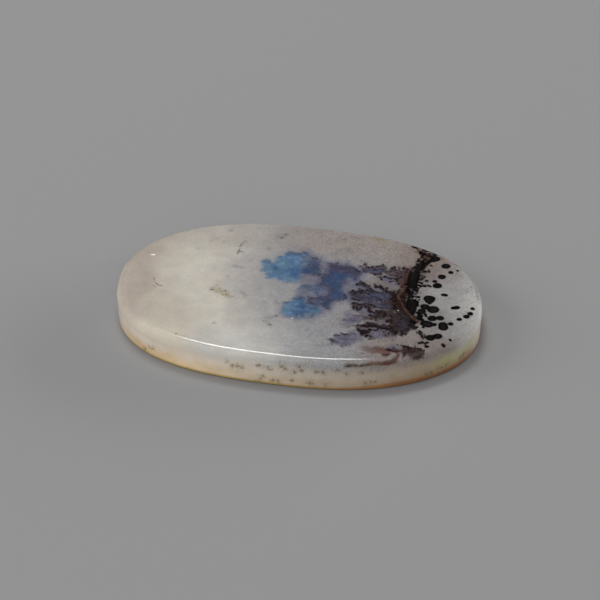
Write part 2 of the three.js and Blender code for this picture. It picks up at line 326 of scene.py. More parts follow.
# Near-black strands along the edges of the lobes and through the dendrites
DARK_STRANDS = (
    # the plumes' dark rims
    ((-0.65, 6.7, 0.12), (-0.35, 6.45, 0.14), (-0.25, 6.15, 0.08)),
    ((0.1, 5.9, 0.07), (0.5, 5.75, 0.12), (0.9, 5.8, 0.1)),
    ((2.25, 5.1, 0.1), (2.6, 5.15, 0.09), (3.05, 5.4, 0.1), (3.15, 5.05, 0.1)),
    ((4.0, 5.3, 0.07), (4.3, 5.1, 0.08), (4.8, 4.85, 0.12), (5.2, 4.5, 0.13), (5.6, 4.2, 0.12)),
    ((1.65, 3.0, 0.12), (1.95, 3.25, 0.1), (2.2, 3.8, 0.08)),
    ((1.95, 2.6, 0.14), (1.95, 2.2, 0.12)),
    ((0.35, 0.6, 0.08), (0.4, 0.85, 0.1)),
    ((0.7, 1.1, 0.1),),
    ((0.15, -1.35, 0.12), (0.5, -1.35, 0.13), (0.8, -1.5, 0.1)),
    ((-1.05, -2.78, 0.09), (-0.75, -2.7, 0.09), (-0.5, -2.6, 0.09)),
    ((1.2, -1.35, 0.12), (1.7, -1.35, 0.13), (2.2, -1.15, 0.1)),
    ((1.1, -1.85, 0.1), (1.3, -1.95, 0.1)),
    ((1.15, -2.35, 0.14), (1.6, -2.4, 0.1)),
    ((2.35, -1.85, 0.09),),
    ((3.1, -2.05, 0.1),),
    ((2.9, -2.4, 0.1), (3.3, -2.9, 0.07), (3.65, -3.1, 0.05)),
    ((0.55, -4.5, 0.09), (0.75, -4.85, 0.08)),
    ((1.0, -4.9, 0.1), (1.25, -4.6, 0.1), (1.15, -4.2, 0.07)),
    ((1.55, -4.1, 0.09), (1.75, -4.35, 0.1)),
    ((2.1, -4.65, 0.07), (2.2, -4.25, 0.06)),
    ((4.2, -1.4, 0.1), (4.55, -1.1, 0.12), (4.9, -0.95, 0.09), (5.05, -0.55, 0.1)),
    ((4.7, -0.4, 0.06), (4.85, -0.25, 0.06)),
    # the tips of the upper row
    ((5.45, 5.35, 0.06), (5.7, 5.1, 0.09)),
    ((5.95, 5.85, 0.07), (6.1, 5.5, 0.09), (6.35, 5.2, 0.08)),
    ((6.6, 5.4, 0.08), (6.85, 5.55, 0.06)),
    ((7.2, 5.6, 0.09),),
    ((7.5, 5.7, 0.09), (7.75, 6.0, 0.09), (7.95, 5.8, 0.1), (8.2, 5.35, 0.09), (8.3, 5.05, 0.06)),
    ((8.55, 5.15, 0.06),),
    ((8.9, 5.9, 0.08), (8.85, 5.5, 0.1), (8.8, 5.1, 0.07)),
    ((9.1, 5.8, 0.07), (9.15, 5.3, 0.08)),
    ((9.4, 5.8, 0.07), (9.6, 5.5, 0.08), (9.75, 5.25, 0.06)),
    ((9.85, 5.75, 0.1), (10.1, 5.95, 0.08), (10.4, 5.75, 0.1), (10.5, 5.35, 0.08)),
    ((7.15, 4.8, 0.11),),
    ((6.85, 4.95, 0.07),),
    ((8.8, 4.85, 0.09), (9.6, 4.7, 0.07)),
    ((5.9, 4.3, 0.05), (6.5, 4.24, 0.05), (7.1, 4.1, 0.06), (7.3, 3.98, 0.1), (7.85, 4.1, 0.1)),
    ((7.85, 4.1, 0.1), (8.0, 4.5, 0.07), (8.6, 4.33, 0.07), (9.2, 4.18, 0.08), (9.8, 4.15, 0.12)),
    # the short row under it
    ((7.85, 3.6, 0.1), (8.0, 3.4, 0.09), (8.05, 3.25, 0.08)),
    ((8.2, 3.7, 0.09), (8.4, 3.85, 0.12), (8.5, 3.65, 0.09)),
    ((8.7, 3.6, 0.09), (9.1, 3.6, 0.11), (9.5, 3.6, 0.1), (9.8, 3.8, 0.1), (10.0, 4.1, 0.14)),
    ((9.05, 3.1, 0.06), (9.35, 3.2, 0.08), (9.6, 3.2, 0.08)),
    ((9.8, 2.85, 0.06), (10.1, 2.6, 0.07), (10.35, 2.2, 0.09)),
    # the thicket's crest
    ((5.6, 1.8, 0.1), (5.9, 2.2, 0.12), (6.0, 2.55, 0.07)),
    ((6.15, 2.25, 0.11), (6.5, 2.3, 0.12), (6.75, 2.05, 0.1), (7.0, 1.75, 0.09), (7.2, 1.45, 0.12)),
    ((7.2, 1.45, 0.12), (7.45, 1.2, 0.1), (7.9, 1.0, 0.09), (8.2, 0.85, 0.08)),
    ((7.55, 2.15, 0.07), (7.8, 1.85, 0.13), (8.15, 1.85, 0.09), (8.4, 1.7, 0.12), (8.65, 1.45, 0.1)),
    ((8.1, 2.2, 0.05), (8.15, 1.9, 0.09)),
    ((8.82, 1.85, 0.05), (8.85, 1.5, 0.1), (8.95, 1.1, 0.1)),
    ((9.3, 1.35, 0.06), (9.3, 0.9, 0.1)),
    ((9.75, 1.5, 0.09), (9.7, 1.1, 0.13), (9.8, 0.6, 0.14), (9.75, 0.0, 0.12)),
    ((10.1, 1.7, 0.05), (10.15, 1.2, 0.08)),
    ((6.1, 1.2, 0.08), (6.35, 1.02, 0.1), (6.65, 0.92, 0.1), (6.95, 1.1, 0.09)),
    ((6.95, 1.1, 0.09), (7.3, 0.9, 0.09), (7.6, 0.75, 0.07)),
    ((6.2, 0.72, 0.09), (6.3, 0.52, 0.09)),
    ((5.15, 0.35, 0.09), (5.45, 0.68, 0.1), (5.8, 0.5, 0.11), (5.65, 0.2, 0.09)),
    ((5.45, -0.25, 0.11), (5.75, -0.05, 0.1), (5.9, 0.15, 0.06)),
    ((5.6, -0.75, 0.12), (6.0, -0.85, 0.13), (6.4, -0.95, 0.1)),
    ((7.15, 0.45, 0.1), (7.35, 0.3, 0.05)),
    ((7.62, 0.35, 0.07),),
    ((8.55, -0.3, 0.07), (8.75, -0.7, 0.06)),
    ((9.55, -0.8, 0.09),),
    # the rows below, from the left ends of their strands
    ((5.8, -1.5, 0.09), (6.2, -1.35, 0.13), (6.6, -1.6, 0.12), (7.0, -1.35, 0.11), (7.4, -1.35, 0.13)),
    ((7.4, -1.35, 0.13), (7.9, -1.5, 0.14), (8.5, -1.85, 0.08), (9.1, -1.9, 0.07)),
    ((6.0, -1.9, 0.06), (6.1, -2.4, 0.09)),
    ((6.35, -2.0, 0.1), (6.5, -2.65, 0.12)),
    ((6.88, -2.0, 0.08), (6.82, -2.5, 0.1)),
    ((7.1, -1.6, 0.1), (7.3, -2.15, 0.1)),
    ((7.55, -1.8, 0.1), (7.7, -2.2, 0.12), (7.65, -2.55, 0.11), (8.1, -2.75, 0.13)),
    ((8.3, -2.45, 0.11), (8.6, -2.3, 0.12), (8.95, -2.25, 0.12), (9.3, -2.4, 0.13), (9.5, -2.8, 0.14)),
    ((9.5, -2.8, 0.14), (9.45, -3.3, 0.12), (9.15, -3.55, 0.08)),
    ((8.75, -2.65, 0.1), (8.7, -3.1, 0.11), (8.55, -3.6, 0.14)),
    ((8.05, -3.05, 0.06), (7.88, -3.3, 0.15), (8.1, -3.45, 0.1)),
    ((9.55, -3.95, 0.09), (9.8, -4.05, 0.16), (10.0, -3.7, 0.12)),
    ((10.05, -3.7, 0.12), (10.35, -4.1, 0.1)),
    ((10.1, -4.7, 0.1), (10.45, -5.0, 0.14), (10.6, -5.4, 0.12)),
    ((10.0, -3.0, 0.08), (10.3, -3.3, 0.09)),
    ((11.15, -3.4, 0.15), (11.45, -3.1, 0.08)),
    ((12.2, -3.5, 0.14), (12.4, -3.85, 0.15), (12.2, -4.3, 0.2), (12.6, -4.6, 0.18), (12.9, -4.5, 0.12)),
    ((12.0, -4.9, 0.1), (12.35, -5.0, 0.1), (12.2, -5.3, 0.07)),
    ((8.05, -4.8, 0.12), (8.3, -4.6, 0.13), (8.7, -4.65, 0.12), (8.9, -4.9, 0.09)),
    ((6.5, -5.4, 0.07), (6.9, -5.35, 0.09), (7.3, -5.18, 0.09), (7.7, -5.08, 0.13), (8.0, -5.2, 0.15)),
    ((8.0, -5.2, 0.15), (8.4, -5.1, 0.13), (8.8, -5.1, 0.09)),
    ((8.1, -5.5, 0.12), (8.4, -5.8, 0.12), (8.8, -5.72, 0.1), (9.2, -5.6, 0.07)),
    ((9.15, -5.25, 0.11), (9.5, -5.35, 0.15), (9.9, -5.2, 0.14), (10.2, -5.5, 0.14)),
    ((7.05, -5.65, 0.09), (7.2, -6.0, 0.16), (7.5, -6.3, 0.2), (7.8, -6.6, 0.2), (7.75, -6.9, 0.1)),
    ((7.9, -5.95, 0.16), (8.1, -6.5, 0.19), (8.15, -6.95, 0.1)),
    ((10.25, -5.6, 0.09), (10.3, -6.1, 0.05)),
    ((10.6, -5.6, 0.1), (10.75, -6.3, 0.05)),
    ((10.95, -5.6, 0.14), (11.05, -6.2, 0.1)),
    ((11.6, -5.55, 0.13), (11.75, -6.15, 0.07)),
    # round the violet lobe and along the lowest branch
    ((4.45, -8.15, 0.12), (4.75, -8.1, 0.2), (5.0, -8.4, 0.1)),
    ((5.55, -6.8, 0.08), (5.85, -6.95, 0.1), (6.2, -7.05, 0.11), (6.3, -6.85, 0.06)),
    ((4.95, -7.4, 0.08), (5.5, -7.3, 0.06)),
    ((6.05, -9.1, 0.1),),
    ((10.55, -8.72, 0.08), (10.95, -8.82, 0.12), (11.3, -8.9, 0.1)),
    ((10.97, -8.2, 0.04), (11.12, -8.65, 0.08)),
    ((11.25, -8.2, 0.04), (11.5, -8.6, 0.06)),
    ((10.35, -9.7, 0.07), (10.7, -9.75, 0.08), (10.95, -9.45, 0.07)),
    ((12.1, -7.85, 0.08), (12.45, -7.95, 0.1), (12.75, -8.15, 0.08)),
    ((13.2, -7.9, 0.07), (13.6, -7.95, 0.08), (14.0, -8.12, 0.08), (14.16, -8.5, 0.07)),
    ((12.35, -9.1, 0.09), (12.48, -9.42, 0.06)),
)

# Black-brown filling between the thicket and the band
UMBER = (
    ((10.7, 5.9, 0.22), (10.68, 4.8, 0.4), (10.8, 3.5, 0.44), (10.9, 2.3, 0.46), (10.75, 1.3, 0.55)),
    ((10.75, 1.3, 0.55), (10.65, 0.2, 0.62), (10.95, -0.6, 0.58), (11.4, -1.5, 0.52), (11.9, -2.2, 0.45)),
    ((11.9, -2.2, 0.45), (12.5, -2.9, 0.36), (12.9, -3.3, 0.28)),
    ((9.7, -0.2, 0.25), (10.0, 0.6, 0.5), (10.1, -0.6, 0.5), (10.3, -1.6, 0.4)),
    ((11.15, 1.5, 0.3), (11.3, 0.4, 0.3)),
    ((11.4, 8.9, 0.5), (12.1, 8.5, 0.4), (12.15, 7.6, 0.5), (11.8, 6.8, 0.5), (11.6, 6.0, 0.5)),
    ((11.6, 6.0, 0.5), (11.4, 5.2, 0.55), (11.4, 4.2, 0.5)),
    ((10.15, 1.9, 0.15), (10.35, 2.4, 0.15)),
)

MANGANESE = (
    # the band, from the back edge forwards
    ((10.25, 9.95, 0.1), (10.8, 9.75, 0.14), (11.4, 9.35, 0.34), (12.1, 9.15, 0.26), (12.85, 8.9, 0.15)),
    ((11.35, 9.1, 0.26), (11.45, 8.6, 0.2), (11.6, 8.2, 0.12), (11.5, 7.7, 0.34), (11.45, 7.1, 0.36)),
    ((11.45, 7.1, 0.36), (11.6, 6.6, 0.34), (11.4, 6.0, 0.42), (11.25, 5.4, 0.48), (11.3, 4.6, 0.52)),
    ((11.3, 4.6, 0.52), (11.3, 3.6, 0.53), (11.3, 2.8, 0.5), (11.4, 2.1, 0.42), (11.4, 1.5, 0.36)),
    ((10.85, 4.3, 0.12), (10.9, 3.9, 0.1)),
    ((10.72, 3.0, 0.12), (10.95, 2.7, 0.14)),
    ((10.9, 1.9, 0.12), (11.15, 1.5, 0.12)),
    ((11.4, 1.5, 0.36), (11.6, 0.9, 0.22), (11.5, 0.4, 0.22), (11.75, -0.3, 0.5), (11.85, -0.9, 0.55)),
    ((11.85, -0.9, 0.55), (12.1, -1.5, 0.34), (12.15, -2.1, 0.2)),
    ((12.4, 8.9, 0.12), (12.45, 8.2, 0.09), (12.5, 7.6, 0.12), (12.3, 7.1, 0.12), (12.1, 6.7, 0.1)),
    # teeth along the band's right edge
    ((12.1, 6.5, 0.07), (12.0, 6.1, 0.1)),
    ((12.2, 5.55, 0.2), (12.12, 5.2, 0.12)),
    ((12.5, 6.0, 0.06), (12.65, 5.6, 0.1)),
    ((12.7, 6.8, 0.1),),
    ((12.85, 7.6, 0.09),),
    ((11.9, 4.8, 0.12), (12.22, 4.55, 0.2), (12.15, 4.05, 0.09)),
    ((11.85, 4.1, 0.15), (11.95, 3.95, 0.08)),
    ((11.9, 3.5, 0.1), (12.25, 3.42, 0.12)),
    ((11.95, 3.0, 0.1), (12.25, 2.78, 0.12)),
    ((11.9, 2.5, 0.1), (12.0, 2.3, 0.07)),
    ((11.85, 2.1, 0.12), (12.05, 1.75, 0.08)),
    ((11.6, 1.62, 0.1), (11.8, 1.4, 0.1), (11.95, 1.22, 0.06)),
    ((11.98, 2.05, 0.09), (12.0, 1.62, 0.1)),
    ((11.5, 1.0, 0.1), (11.88, 0.84, 0.08)),
    ((11.7, 1.6, 0.1), (11.85, 1.3, 0.11)),
    ((12.35, 1.75, 0.06),),
    ((12.1, 0.9, 0.14), (12.3, 0.88, 0.15)),
    ((11.72, 0.86, 0.13),),
    ((12.4, 0.4, 0.07),),
    ((12.0, 0.3, 0.12), (12.3, -0.1, 0.16)),
    ((12.4, -0.4, 0.08), (12.45, -0.8, 0.06)),
    # the round dots between the band and the tip
    ((12.94, 8.14, 0.44),),
    ((12.75, 8.75, 0.1),),
    ((14.21, 7.0, 0.42),),
    ((15.1, 7.7, 0.06), (15.35, 7.56, 0.1)),
    ((15.54, 6.4, 0.1),),
    ((14.88, 5.95, 0.23),),
    ((14.1, 4.96, 0.37),),
    ((13.5, 3.98, 0.2),),
    ((12.66, 3.92, 0.14),),
    ((13.89, 3.26, 0.44),),
    ((12.95, 3.12, 0.08), (13.22, 2.98, 0.08)),
    ((12.6, 2.96, 0.18),),
    ((14.75, 1.76, 0.2), (14.98, 1.74, 0.19)),
    ((13.38, 0.8, 0.5), (13.5, 0.76, 0.52), (13.5, 0.4, 0.42), (13.58, 0.0, 0.16)),
    ((16.08, -0.38, 0.2), (16.45, -0.2, 0.26)),
    ((18.04, -0.07, 0.19),),
    ((17.94, -1.0, 0.26),),
    ((17.64, -1.6, 0.3),),
    ((16.99, -2.22, 0.22),),
    ((16.23, -3.18, 0.24),),
    ((13.2, -0.72, 0.42),),
    ((14.11, -1.04, 0.58),),
    ((13.0, -1.6, 0.42), (12.8, -1.9, 0.26)),
    ((13.45, -2.0, 0.12), (13.6, -2.4, 0.08)),
    ((13.0, -2.4, 0.26), (12.95, -2.85, 0.22), (13.3, -3.05, 0.16)),
    ((14.26, -2.6, 0.43),),
    ((15.04, -2.4, 0.36),),
    ((13.7, -3.6, 0.46), (14.0, -3.7, 0.5)),
    ((14.62, -3.62, 0.22),),
    ((15.5, -3.5, 0.42), (15.6, -3.95, 0.46)),
    ((13.6, -4.3, 0.12),),
    ((14.6, -5.95, 0.45),),
    ((15.27, -5.55, 0.42),),
    ((16.62, -5.86, 0.1),),
    ((16.04, -6.76, 0.17),),
    ((14.42, -6.8, 0.11),),
    ((14.3, -7.38, 0.08), (14.55, -7.5, 0.11), (14.35, -7.62, 0.06)),
    ((12.4, -3.55, 0.2), (12.6, -3.8, 0.16)),
)

RUST_SEAM = (
    ((10.66, 6.1, 0.05), (10.5, 5.2, 0.06), (10.46, 4.5, 0.07), (10.62, 3.4, 0.07), (10.76, 2.6, 0.07)),
    ((10.76, 2.6, 0.08), (10.62, 1.8, 0.07), (10.5, 1.2, 0.07), (10.2, 0.86, 0.08), (10.3, 0.3, 0.07)),
    ((10.3, 0.3, 0.07), (10.6, -0.2, 0.07), (10.9, -0.8, 0.08), (11.2, -1.4, 0.08), (11.7, -2.2, 0.08)),
    ((11.7, -2.2, 0.07), (11.95, -2.3, 0.07), (12.2, -2.8, 0.08), (12.5, -2.9, 0.07), (12.75, -3.35, 0.08)),
    ((12.75, -3.35, 0.08), (13.05, -3.35, 0.08), (13.1, -3.9, 0.05)),
    ((12.3, -2.6, 0.04), (12.6, -2.5, 0.04)),
    ((10.5, 2.0, 0.05), (10.35, 1.4, 0.05)),
    ((11.8, 8.4, 0.1), (12.0, 8.1, 0.1), (12.25, 8.2, 0.1), (12.25, 7.9, 0.08)),
    ((11.95, 7.5, 0.08),),
)

# The iron branch that runs over the shoulder at the front
RUST_BRANCH = (
    ((11.6, -9.1, 0.12), (11.86, -9.2, 0.14), (11.83, -9.65, 0.18), (11.55, -10.1, 0.22)),
    ((11.55, -10.1, 0.22), (11.02, -10.46, 0.22), (10.35, -10.7, 0.16), (9.64, -10.85, 0.14)),
    ((9.64, -10.85, 0.14), (9.27, -11.0, 0.16), (8.9, -11.15, 0.12), (8.32, -11.38, 0.12)),
    ((8.32, -11.38, 0.12), (7.7, -11.48, 0.12), (7.15, -11.62, 0.15), (6.87, -11.7, 0.12)),
)

# Other thin dark marks
GREY_MARKS = (
    ((-10.8, -9.95, 0.09),),
    ((-7.3, 7.45, 0.06), (-7.56, 6.55, 0.09)),
    ((-7.48, 6.1, 0.06), (-7.55, 5.2, 0.1)),
    ((-7.34, 5.7, 0.07), (-6.95, 5.62, 0.07)),
    ((-7.35, 7.85, 0.03), (-6.95, 7.45, 0.03)),
    ((-7.75, 1.1, 0.06), (-7.6, 0.8, 0.05)),
    ((-8.98, -1.85, 0.1), (-8.75, -1.72, 0.1)),
    ((-7.4, -1.69, 0.12),),
    ((-7.3, -1.9, 0.06),),
    ((-15.16, -0.7, 0.06), (-15.04, -1.1, 0.06)),
    ((-14.9, -1.46, 0.06), (-14.36, -1.95, 0.09), (-14.0, -1.95, 0.05)),
    ((-15.0, -1.95, 0.03), (-14.6, -2.3, 0.03)),
    ((-3.5, 9.0, 0.16),),
    ((-3.25, 9.7, 0.1),),
    ((-7.4, -7.1, 0.05), (-7.5, -7.5, 0.05)),
    ((-1.45, -5.15, 0.12),),
    ((-1.75, -6.75, 0.14),),
    ((-2.6, -6.2, 0.1),),
    ((8.1, -9.8, 0.12), (8.4, -9.9, 0.1)),
    ((9.5, -7.6, 0.1),),
)

BROWN_GRAINS = (
    ((-8.8, -1.5, 0.16), (-8.2, -1.7, 0.38), (-7.5, -2.1, 0.42), (-6.8, -2.6, 0.22)),
    ((-8.4, -1.0, 0.14),),
    ((6.2, 11.1, 0.35), (6.6, 10.7, 0.35), (7.0, 10.6, 0.25)),
)

# Painted highlights: white spots painted where tiny pits in the polish would catch the light
GLINTS = (
    ((-16.4, 3.45, 0.1), (-16.05, 3.5, 0.12)),
    ((0.25, -5.25, 0.09),),
    ((0.83, -4.83, 0.05),),
    ((10.65, -1.9, 0.06),),
)

# Where the dark plumes and dendrites glow blue
BLUE_GLOWS = (
    ((3.0, 2.2, 0.7), (3.6, 2.9, 0.6), (4.6, 3.0, 0.4)),
    ((3.2, 1.6, 0.4), (3.75, 0.9, 0.35), (4.1, 0.2, 0.3), (4.2, -0.4, 0.4)),
    ((3.8, -0.8, 0.3),),
    ((3.3, -2.3, 0.2),),
    ((7.2, -0.6, 0.4), (7.6, 0.0, 0.6), (8.6, 0.3, 0.6), (9.2, 0.0, 0.4)),
    ((5.3, 0.1, 0.2), (5.2, -0.5, 0.15)),
    ((8.6, -1.5, 0.35), (9.2, -1.5, 0.3)),
    ((11.2, -3.3, 0.25), (11.4, -4.2, 0.4), (11.5, -4.9, 0.25)),
    ((6.2, 4.7, 0.2), (7.0, 4.6, 0.3), (7.9, 4.8, 0.3)),
    ((-0.5, 3.5, 0.3), (0.2, 3.4, 0.4), (0.8, 3.6, 0.3)),
    ((0.5, 5.2, 0.3), (0.8, 4.4, 0.3)),
)

# Where the blue plumes turn pale and sea-green
PALE_GLOWS = (
    ((-4.3, 4.3, 0.3), (-4.1, 3.2, 0.4), (-3.6, 2.4, 0.4)),
    ((-3.1, 5.0, 0.35), (-2.6, 4.1, 0.4)),
    ((-1.7, 1.6, 0.4), (-0.9, 1.5, 0.35)),
    ((0.4, 0.1, 0.5), (0.0, -0.1, 0.3)),
    ((1.7, -0.6, 0.3),),
    ((-0.7, -3.5, 0.4), (-0.8, -4.2, 0.4)),
    ((2.4, -3.5, 0.4),),
)

# Where the blue plumes are veiled in mauve grey
MIST_GLOWS = (
    ((-0.4, 5.9, 0.2), (-0.45, 5.0, 0.3), (-0.4, 4.2, 0.25)),
    ((0.2, 5.5, 0.35), (0.9, 5.3, 0.3)),
    ((0.7, 6.0, 0.2),),
    ((1.8, -1.8, 0.25), (2.4, -2.2, 0.25)),
)

# Where they turn to slate
SLATE_GLOWS = (
    ((1.3, -3.2, 0.4), (2.3, -3.1, 0.4)),
    ((-3.9, 4.2, 0.3),),
    ((0.6, 3.9, 0.3), (1.2, 3.4, 0.3)),
    ((-2.2, 6.3, 0.3), (-1.2, 6.4, 0.3), (-0.5, 6.6, 0.25)),
    ((0.0, -1.8, 0.2), (0.6, -1.6, 0.25)),
    ((2.2, -4.2, 0.3),),
)

# Where the blue plumes deepen
DEEP_GLOWS = (
    ((-3.2, 3.3, 0.4),),
    ((-1.0, 2.5, 0.5), (-0.6, 1.8, 0.2)),
    ((-1.6, 3.2, 0.3), (-0.8, 3.4, 0.4)),
    ((0.9, 0.5, 0.3), (1.6, 0.5, 0.3)),
    ((0.4, 0.75, 0.15),),
    ((0.5, -1.9, 0.3), (0.9, -3.2, 0.3), (0.7, -4.3, 0.3), (1.1, -4.5, 0.2)),
    ((1.7, -3.8, 0.25),),
)

# Where the dark plumes turn plum
PLUM_GLOWS = (
    ((2.5, 4.9, 0.3), (4.6, 4.6, 0.4), (5.4, 4.0, 0.3)),
    ((1.3, -1.6, 0.2), (1.9, -1.4, 0.2)),
)

# Where the dendrites darken into solid slate and brown
SHADE_GLOWS = (
    ((5.9, 1.95, 0.2), (6.4, 1.95, 0.22), (6.9, 1.6, 0.2)),
    ((5.5, 0.3, 0.2), (6.0, 0.5, 0.25), (6.6, 0.6, 0.25)),
    ((5.7, -0.7, 0.2), (6.3, -0.6, 0.15)),
    ((8.4, 1.2, 0.15), (9.0, 1.1, 0.2), (9.8, 1.0, 0.3)),
    ((7.6, -2.3, 0.15), (8.2, -2.9, 0.25), (9.0, -2.7, 0.35), (9.6, -2.9, 0.3)),
    ((8.7, -3.4, 0.2), (9.9, -3.6, 0.3), (10.2, -4.4, 0.35), (10.3, -5.1, 0.25)),
    ((7.6, -6.1, 0.25), (7.9, -6.7, 0.15)),
    ((7.8, -5.1, 0.15), (8.6, -5.1, 0.2), (9.5, -5.2, 0.2)),
    ((12.9, -8.5, 0.15), (13.4, -8.55, 0.35), (13.9, -8.6, 0.45)),
)

# Flecks in the wall: the oval's angle in degrees, the height above the base and the radius
WALL_FLECKS = (
    (254.9, 2.2, 0.07), (256.6, 1.84, 0.11), (258.1, 1.88, 0.16), (259.4, 1.72, 0.09),
    (264.5, 2.27, 0.12), (265.2, 2.38, 0.1), (266.9, 2.2, 0.1), (268.0, 2.0, 0.09),
    (271.8, 2.57, 0.13), (272.3, 2.3, 0.09), (273.6, 2.16, 0.07), (275.4, 2.05, 0.13),
    (277.2, 2.75, 0.1), (278.1, 2.32, 0.13), (282.0, 2.27, 0.1), (284.1, 2.27, 0.13),
    (288.6, 2.6, 0.08), (291.1, 2.16, 0.06), (296.1, 2.27, 0.1),
    (264.4, 0.35, 0.12), (265.1, 0.63, 0.1), (266.1, 1.06, 0.07), (268.9, 0.66, 0.14),
    (270.4, 0.62, 0.12), (274.9, 0.9, 0.1), (279.8, 0.78, 0.14), (280.6, 0.72, 0.08),
    (284.9, 0.7, 0.09), (297.2, 0.92, 0.07), (298.9, 0.98, 0.08), (300.1, 1.03, 0.07),
    (317.9, 0.85, 0.13), (319.5, 0.9, 0.09), (322.4, 1.06, 0.08), (324.6, 1.0, 0.12),
    (326.4, 1.12, 0.12), (334.8, 1.06, 0.17), (335.8, 1.2, 0.12), (337.1, 1.34, 0.12),
    (224.2, 0.4, 0.16), (225.2, 0.6, 0.12), (227.2, 1.17, 0.1), (228.5, 1.2, 0.07),
    (80.0, 1.7, 0.12), (95.0, 0.9, 0.1), (112.0, 2.1, 0.1), (121.0, 1.0, 0.12),
    (62.0, 1.4, 0.13), (47.0, 0.9, 0.12), (33.0, 1.8, 0.14), (12.0, 1.1, 0.1),
)

# Soft olive tints in the wall, given like the flecks
MOSS = ((323.5, 2.0, 0.8), (327.0, 1.7, 1.0), (333.0, 1.8, 0.9), (338.0, 2.0, 0.5))

# The brown stain that fills the gaps between the dendrites
UNDERGROWTH = (
    (
        (5.3, 0.6), (5.9, 1.3), (6.6, 1.9), (7.4, 1.8), (8.2, 1.7), (9.0, 1.6), (10.4, 1.7), (10.8, -1.0),
        (12.6, -3.6), (12.6, -5.0), (11.6, -5.9), (10.6, -6.4), (9.6, -7.1), (8.4, -7.2), (7.3, -6.5),
        (7.0, -5.7), (6.6, -5.3), (7.6, -4.9), (7.4, -4.3), (6.9, -3.9), (6.4, -3.6), (7.2, -3.2),
        (5.9, -2.6), (5.6, -1.2), (5.2, -0.4),
    ),
    ((7.8, 3.9), (8.6, 4.3), (9.8, 4.1), (10.6, 4.3), (10.6, 2.4), (9.9, 2.9), (9.2, 3.3), (8.2, 3.3)),
)

# The strokes' names on the mesh, with how softly the strokes of each kind join, in millimetres
STROKE_MARKS = (
    ("clearing", CLEARINGS, 0.1), ("wash", WASHES, 0.2), ("blue_veil", BLUE_VEILS, 0.15),
    ("smudge", SMUDGES, 0.1), ("umber", UMBER, 0.1), ("dark_strands", DARK_STRANDS, 0.0),
    ("rust_seam", RUST_SEAM, 0.0), ("rust_branch", RUST_BRANCH, 0.0), ("grey", GREY_MARKS, 0.0),
    ("grains", BROWN_GRAINS, 0.0), ("glint", GLINTS, 0.0), ("blue_glow", BLUE_GLOWS, 0.2),
    ("pale_glow", PALE_GLOWS, 0.2), ("mist_glow", MIST_GLOWS, 0.2), ("slate_glow", SLATE_GLOWS, 0.2),
    ("deep_glow", DEEP_GLOWS, 0.2), ("plum_glow", PLUM_GLOWS, 0.2), ("shade_glow", SHADE_GLOWS, 0.2),
)

# Colours along the stone from its left end to its right, as stops of (share of the way, red, green,
# blue): the top's; the upper and the lower wall's, painted lighter for light glowing through the
# stone; the wall's foot and the line under it, a painted amber glow that turns to a painted brown
# shadow at the right
TOP_ZONES = (
    (0.12, 188, 179, 167), (0.2, 197, 192, 181), (0.25, 198, 192, 181), (0.3, 182, 177, 170),
    (0.35, 169, 166, 163), (0.42, 154, 153, 153), (0.5, 146, 145, 147), (0.58, 143, 140, 141),
    (0.76, 140, 136, 134), (0.82, 132, 128, 126), (0.87, 150, 148, 147), (0.92, 160, 159, 157),
    (0.97, 176, 175, 171),
)
HIGH_WALL = (
    (0.0, 196, 184, 172), (0.12, 204, 192, 176), (0.3, 222, 208, 190), (0.45, 210, 199, 182),
    (0.6, 192, 181, 168), (0.75, 180, 166, 150), (0.88, 162, 146, 122), (0.97, 160, 152, 128),
)
LOW_WALL = (
    (0.0, 196, 182, 162), (0.12, 198, 170, 132), (0.25, 224, 200, 162), (0.4, 214, 197, 170),
    (0.55, 194, 177, 154), (0.7, 184, 166, 144), (0.82, 168, 146, 122), (0.92, 150, 130, 102),
    (0.97, 142, 122, 96),
)
FOOT_GLOW_AND_SHADOW = (
    (0.0, 206, 194, 176), (0.05, 192, 172, 142), (0.12, 172, 140, 92), (0.22, 198, 168, 114),
    (0.4, 188, 160, 106), (0.55, 180, 150, 102), (0.7, 170, 130, 84), (0.8, 154, 110, 70),
    (0.93, 128, 86, 52),
)
AMBER_GLOW_AND_SHADOW = (
    (0.1, 176, 146, 70), (0.3, 190, 160, 74), (0.55, 182, 146, 64), (0.72, 172, 120, 60),
    (0.85, 138, 90, 46), (0.95, 100, 62, 36),
)

# The insides of the dendrites after their leftmost colour, and the iron branch, from left to right
HEART_ZONES = (
    (0.45, 84, 72, 78), (0.58, 68, 54, 54), (0.7, 50, 40, 41), (0.85, 40, 37, 41), (1.0, 28, 23, 22),
)
IRON_ZONES = ((0.0, 52, 47, 38), (0.35, 58, 48, 34), (0.5, 98, 70, 42), (0.68, 76, 40, 28), (1.0, 70, 36, 26))

# Regions of the top that differ from its zones: the colour, then the S-curves whose product is its
# share. A curve runs along an axis from one place to another, and from 0 to 1 or between two shares.
TOP_REGIONS = (
    # the rosy back
    ((150, 139, 132), ("y", 5.0, 9.0), ("x", -9.0, 1.0, 0.0, 0.7)),
    # the browner right of the front
    ((124, 110, 102), ("x", 6.0, 11.0), ("y", -7.5, -4.5, 0.55, 0.0)),
    # the duller left of the back
    ((164, 157, 150), ("y", 3.0, 8.5), ("x", -9.0, -3.0, 0.6, 0.0)),
    # round the back of the black band
    ((118, 98, 92), ("y", 2.0, 5.0), ("x", 13.0, 17.0, 0.5, 0.0), ("x", 8.0, 11.0)),
    # between the rows of dendrites
    ((108, 98, 95), ("x", 6.0, 8.5), ("x", 10.5, 12.0, 0.7, 0.0), ("y", 0.5, 2.0), ("y", 3.4, 4.6, 1.0, 0.0)),
    # the shaded rim at the back
    ((96, 88, 82), ("z", 3.3, 3.4, 1.0, 0.0), ("y", 0.5, 3.5, 0.0, 0.45)),
)


def srgb(red, green, blue):
    """A display colour of 0 to 255 a channel, as the linear colour that Blender's sockets take."""
    shares = np.array((red, green, blue)) / 255
    linear = np.where(shares <= 0.04045, shares / 12.92, ((shares + 0.055) / 1.055) ** 2.4)
    return tuple(float(value) for value in linear)


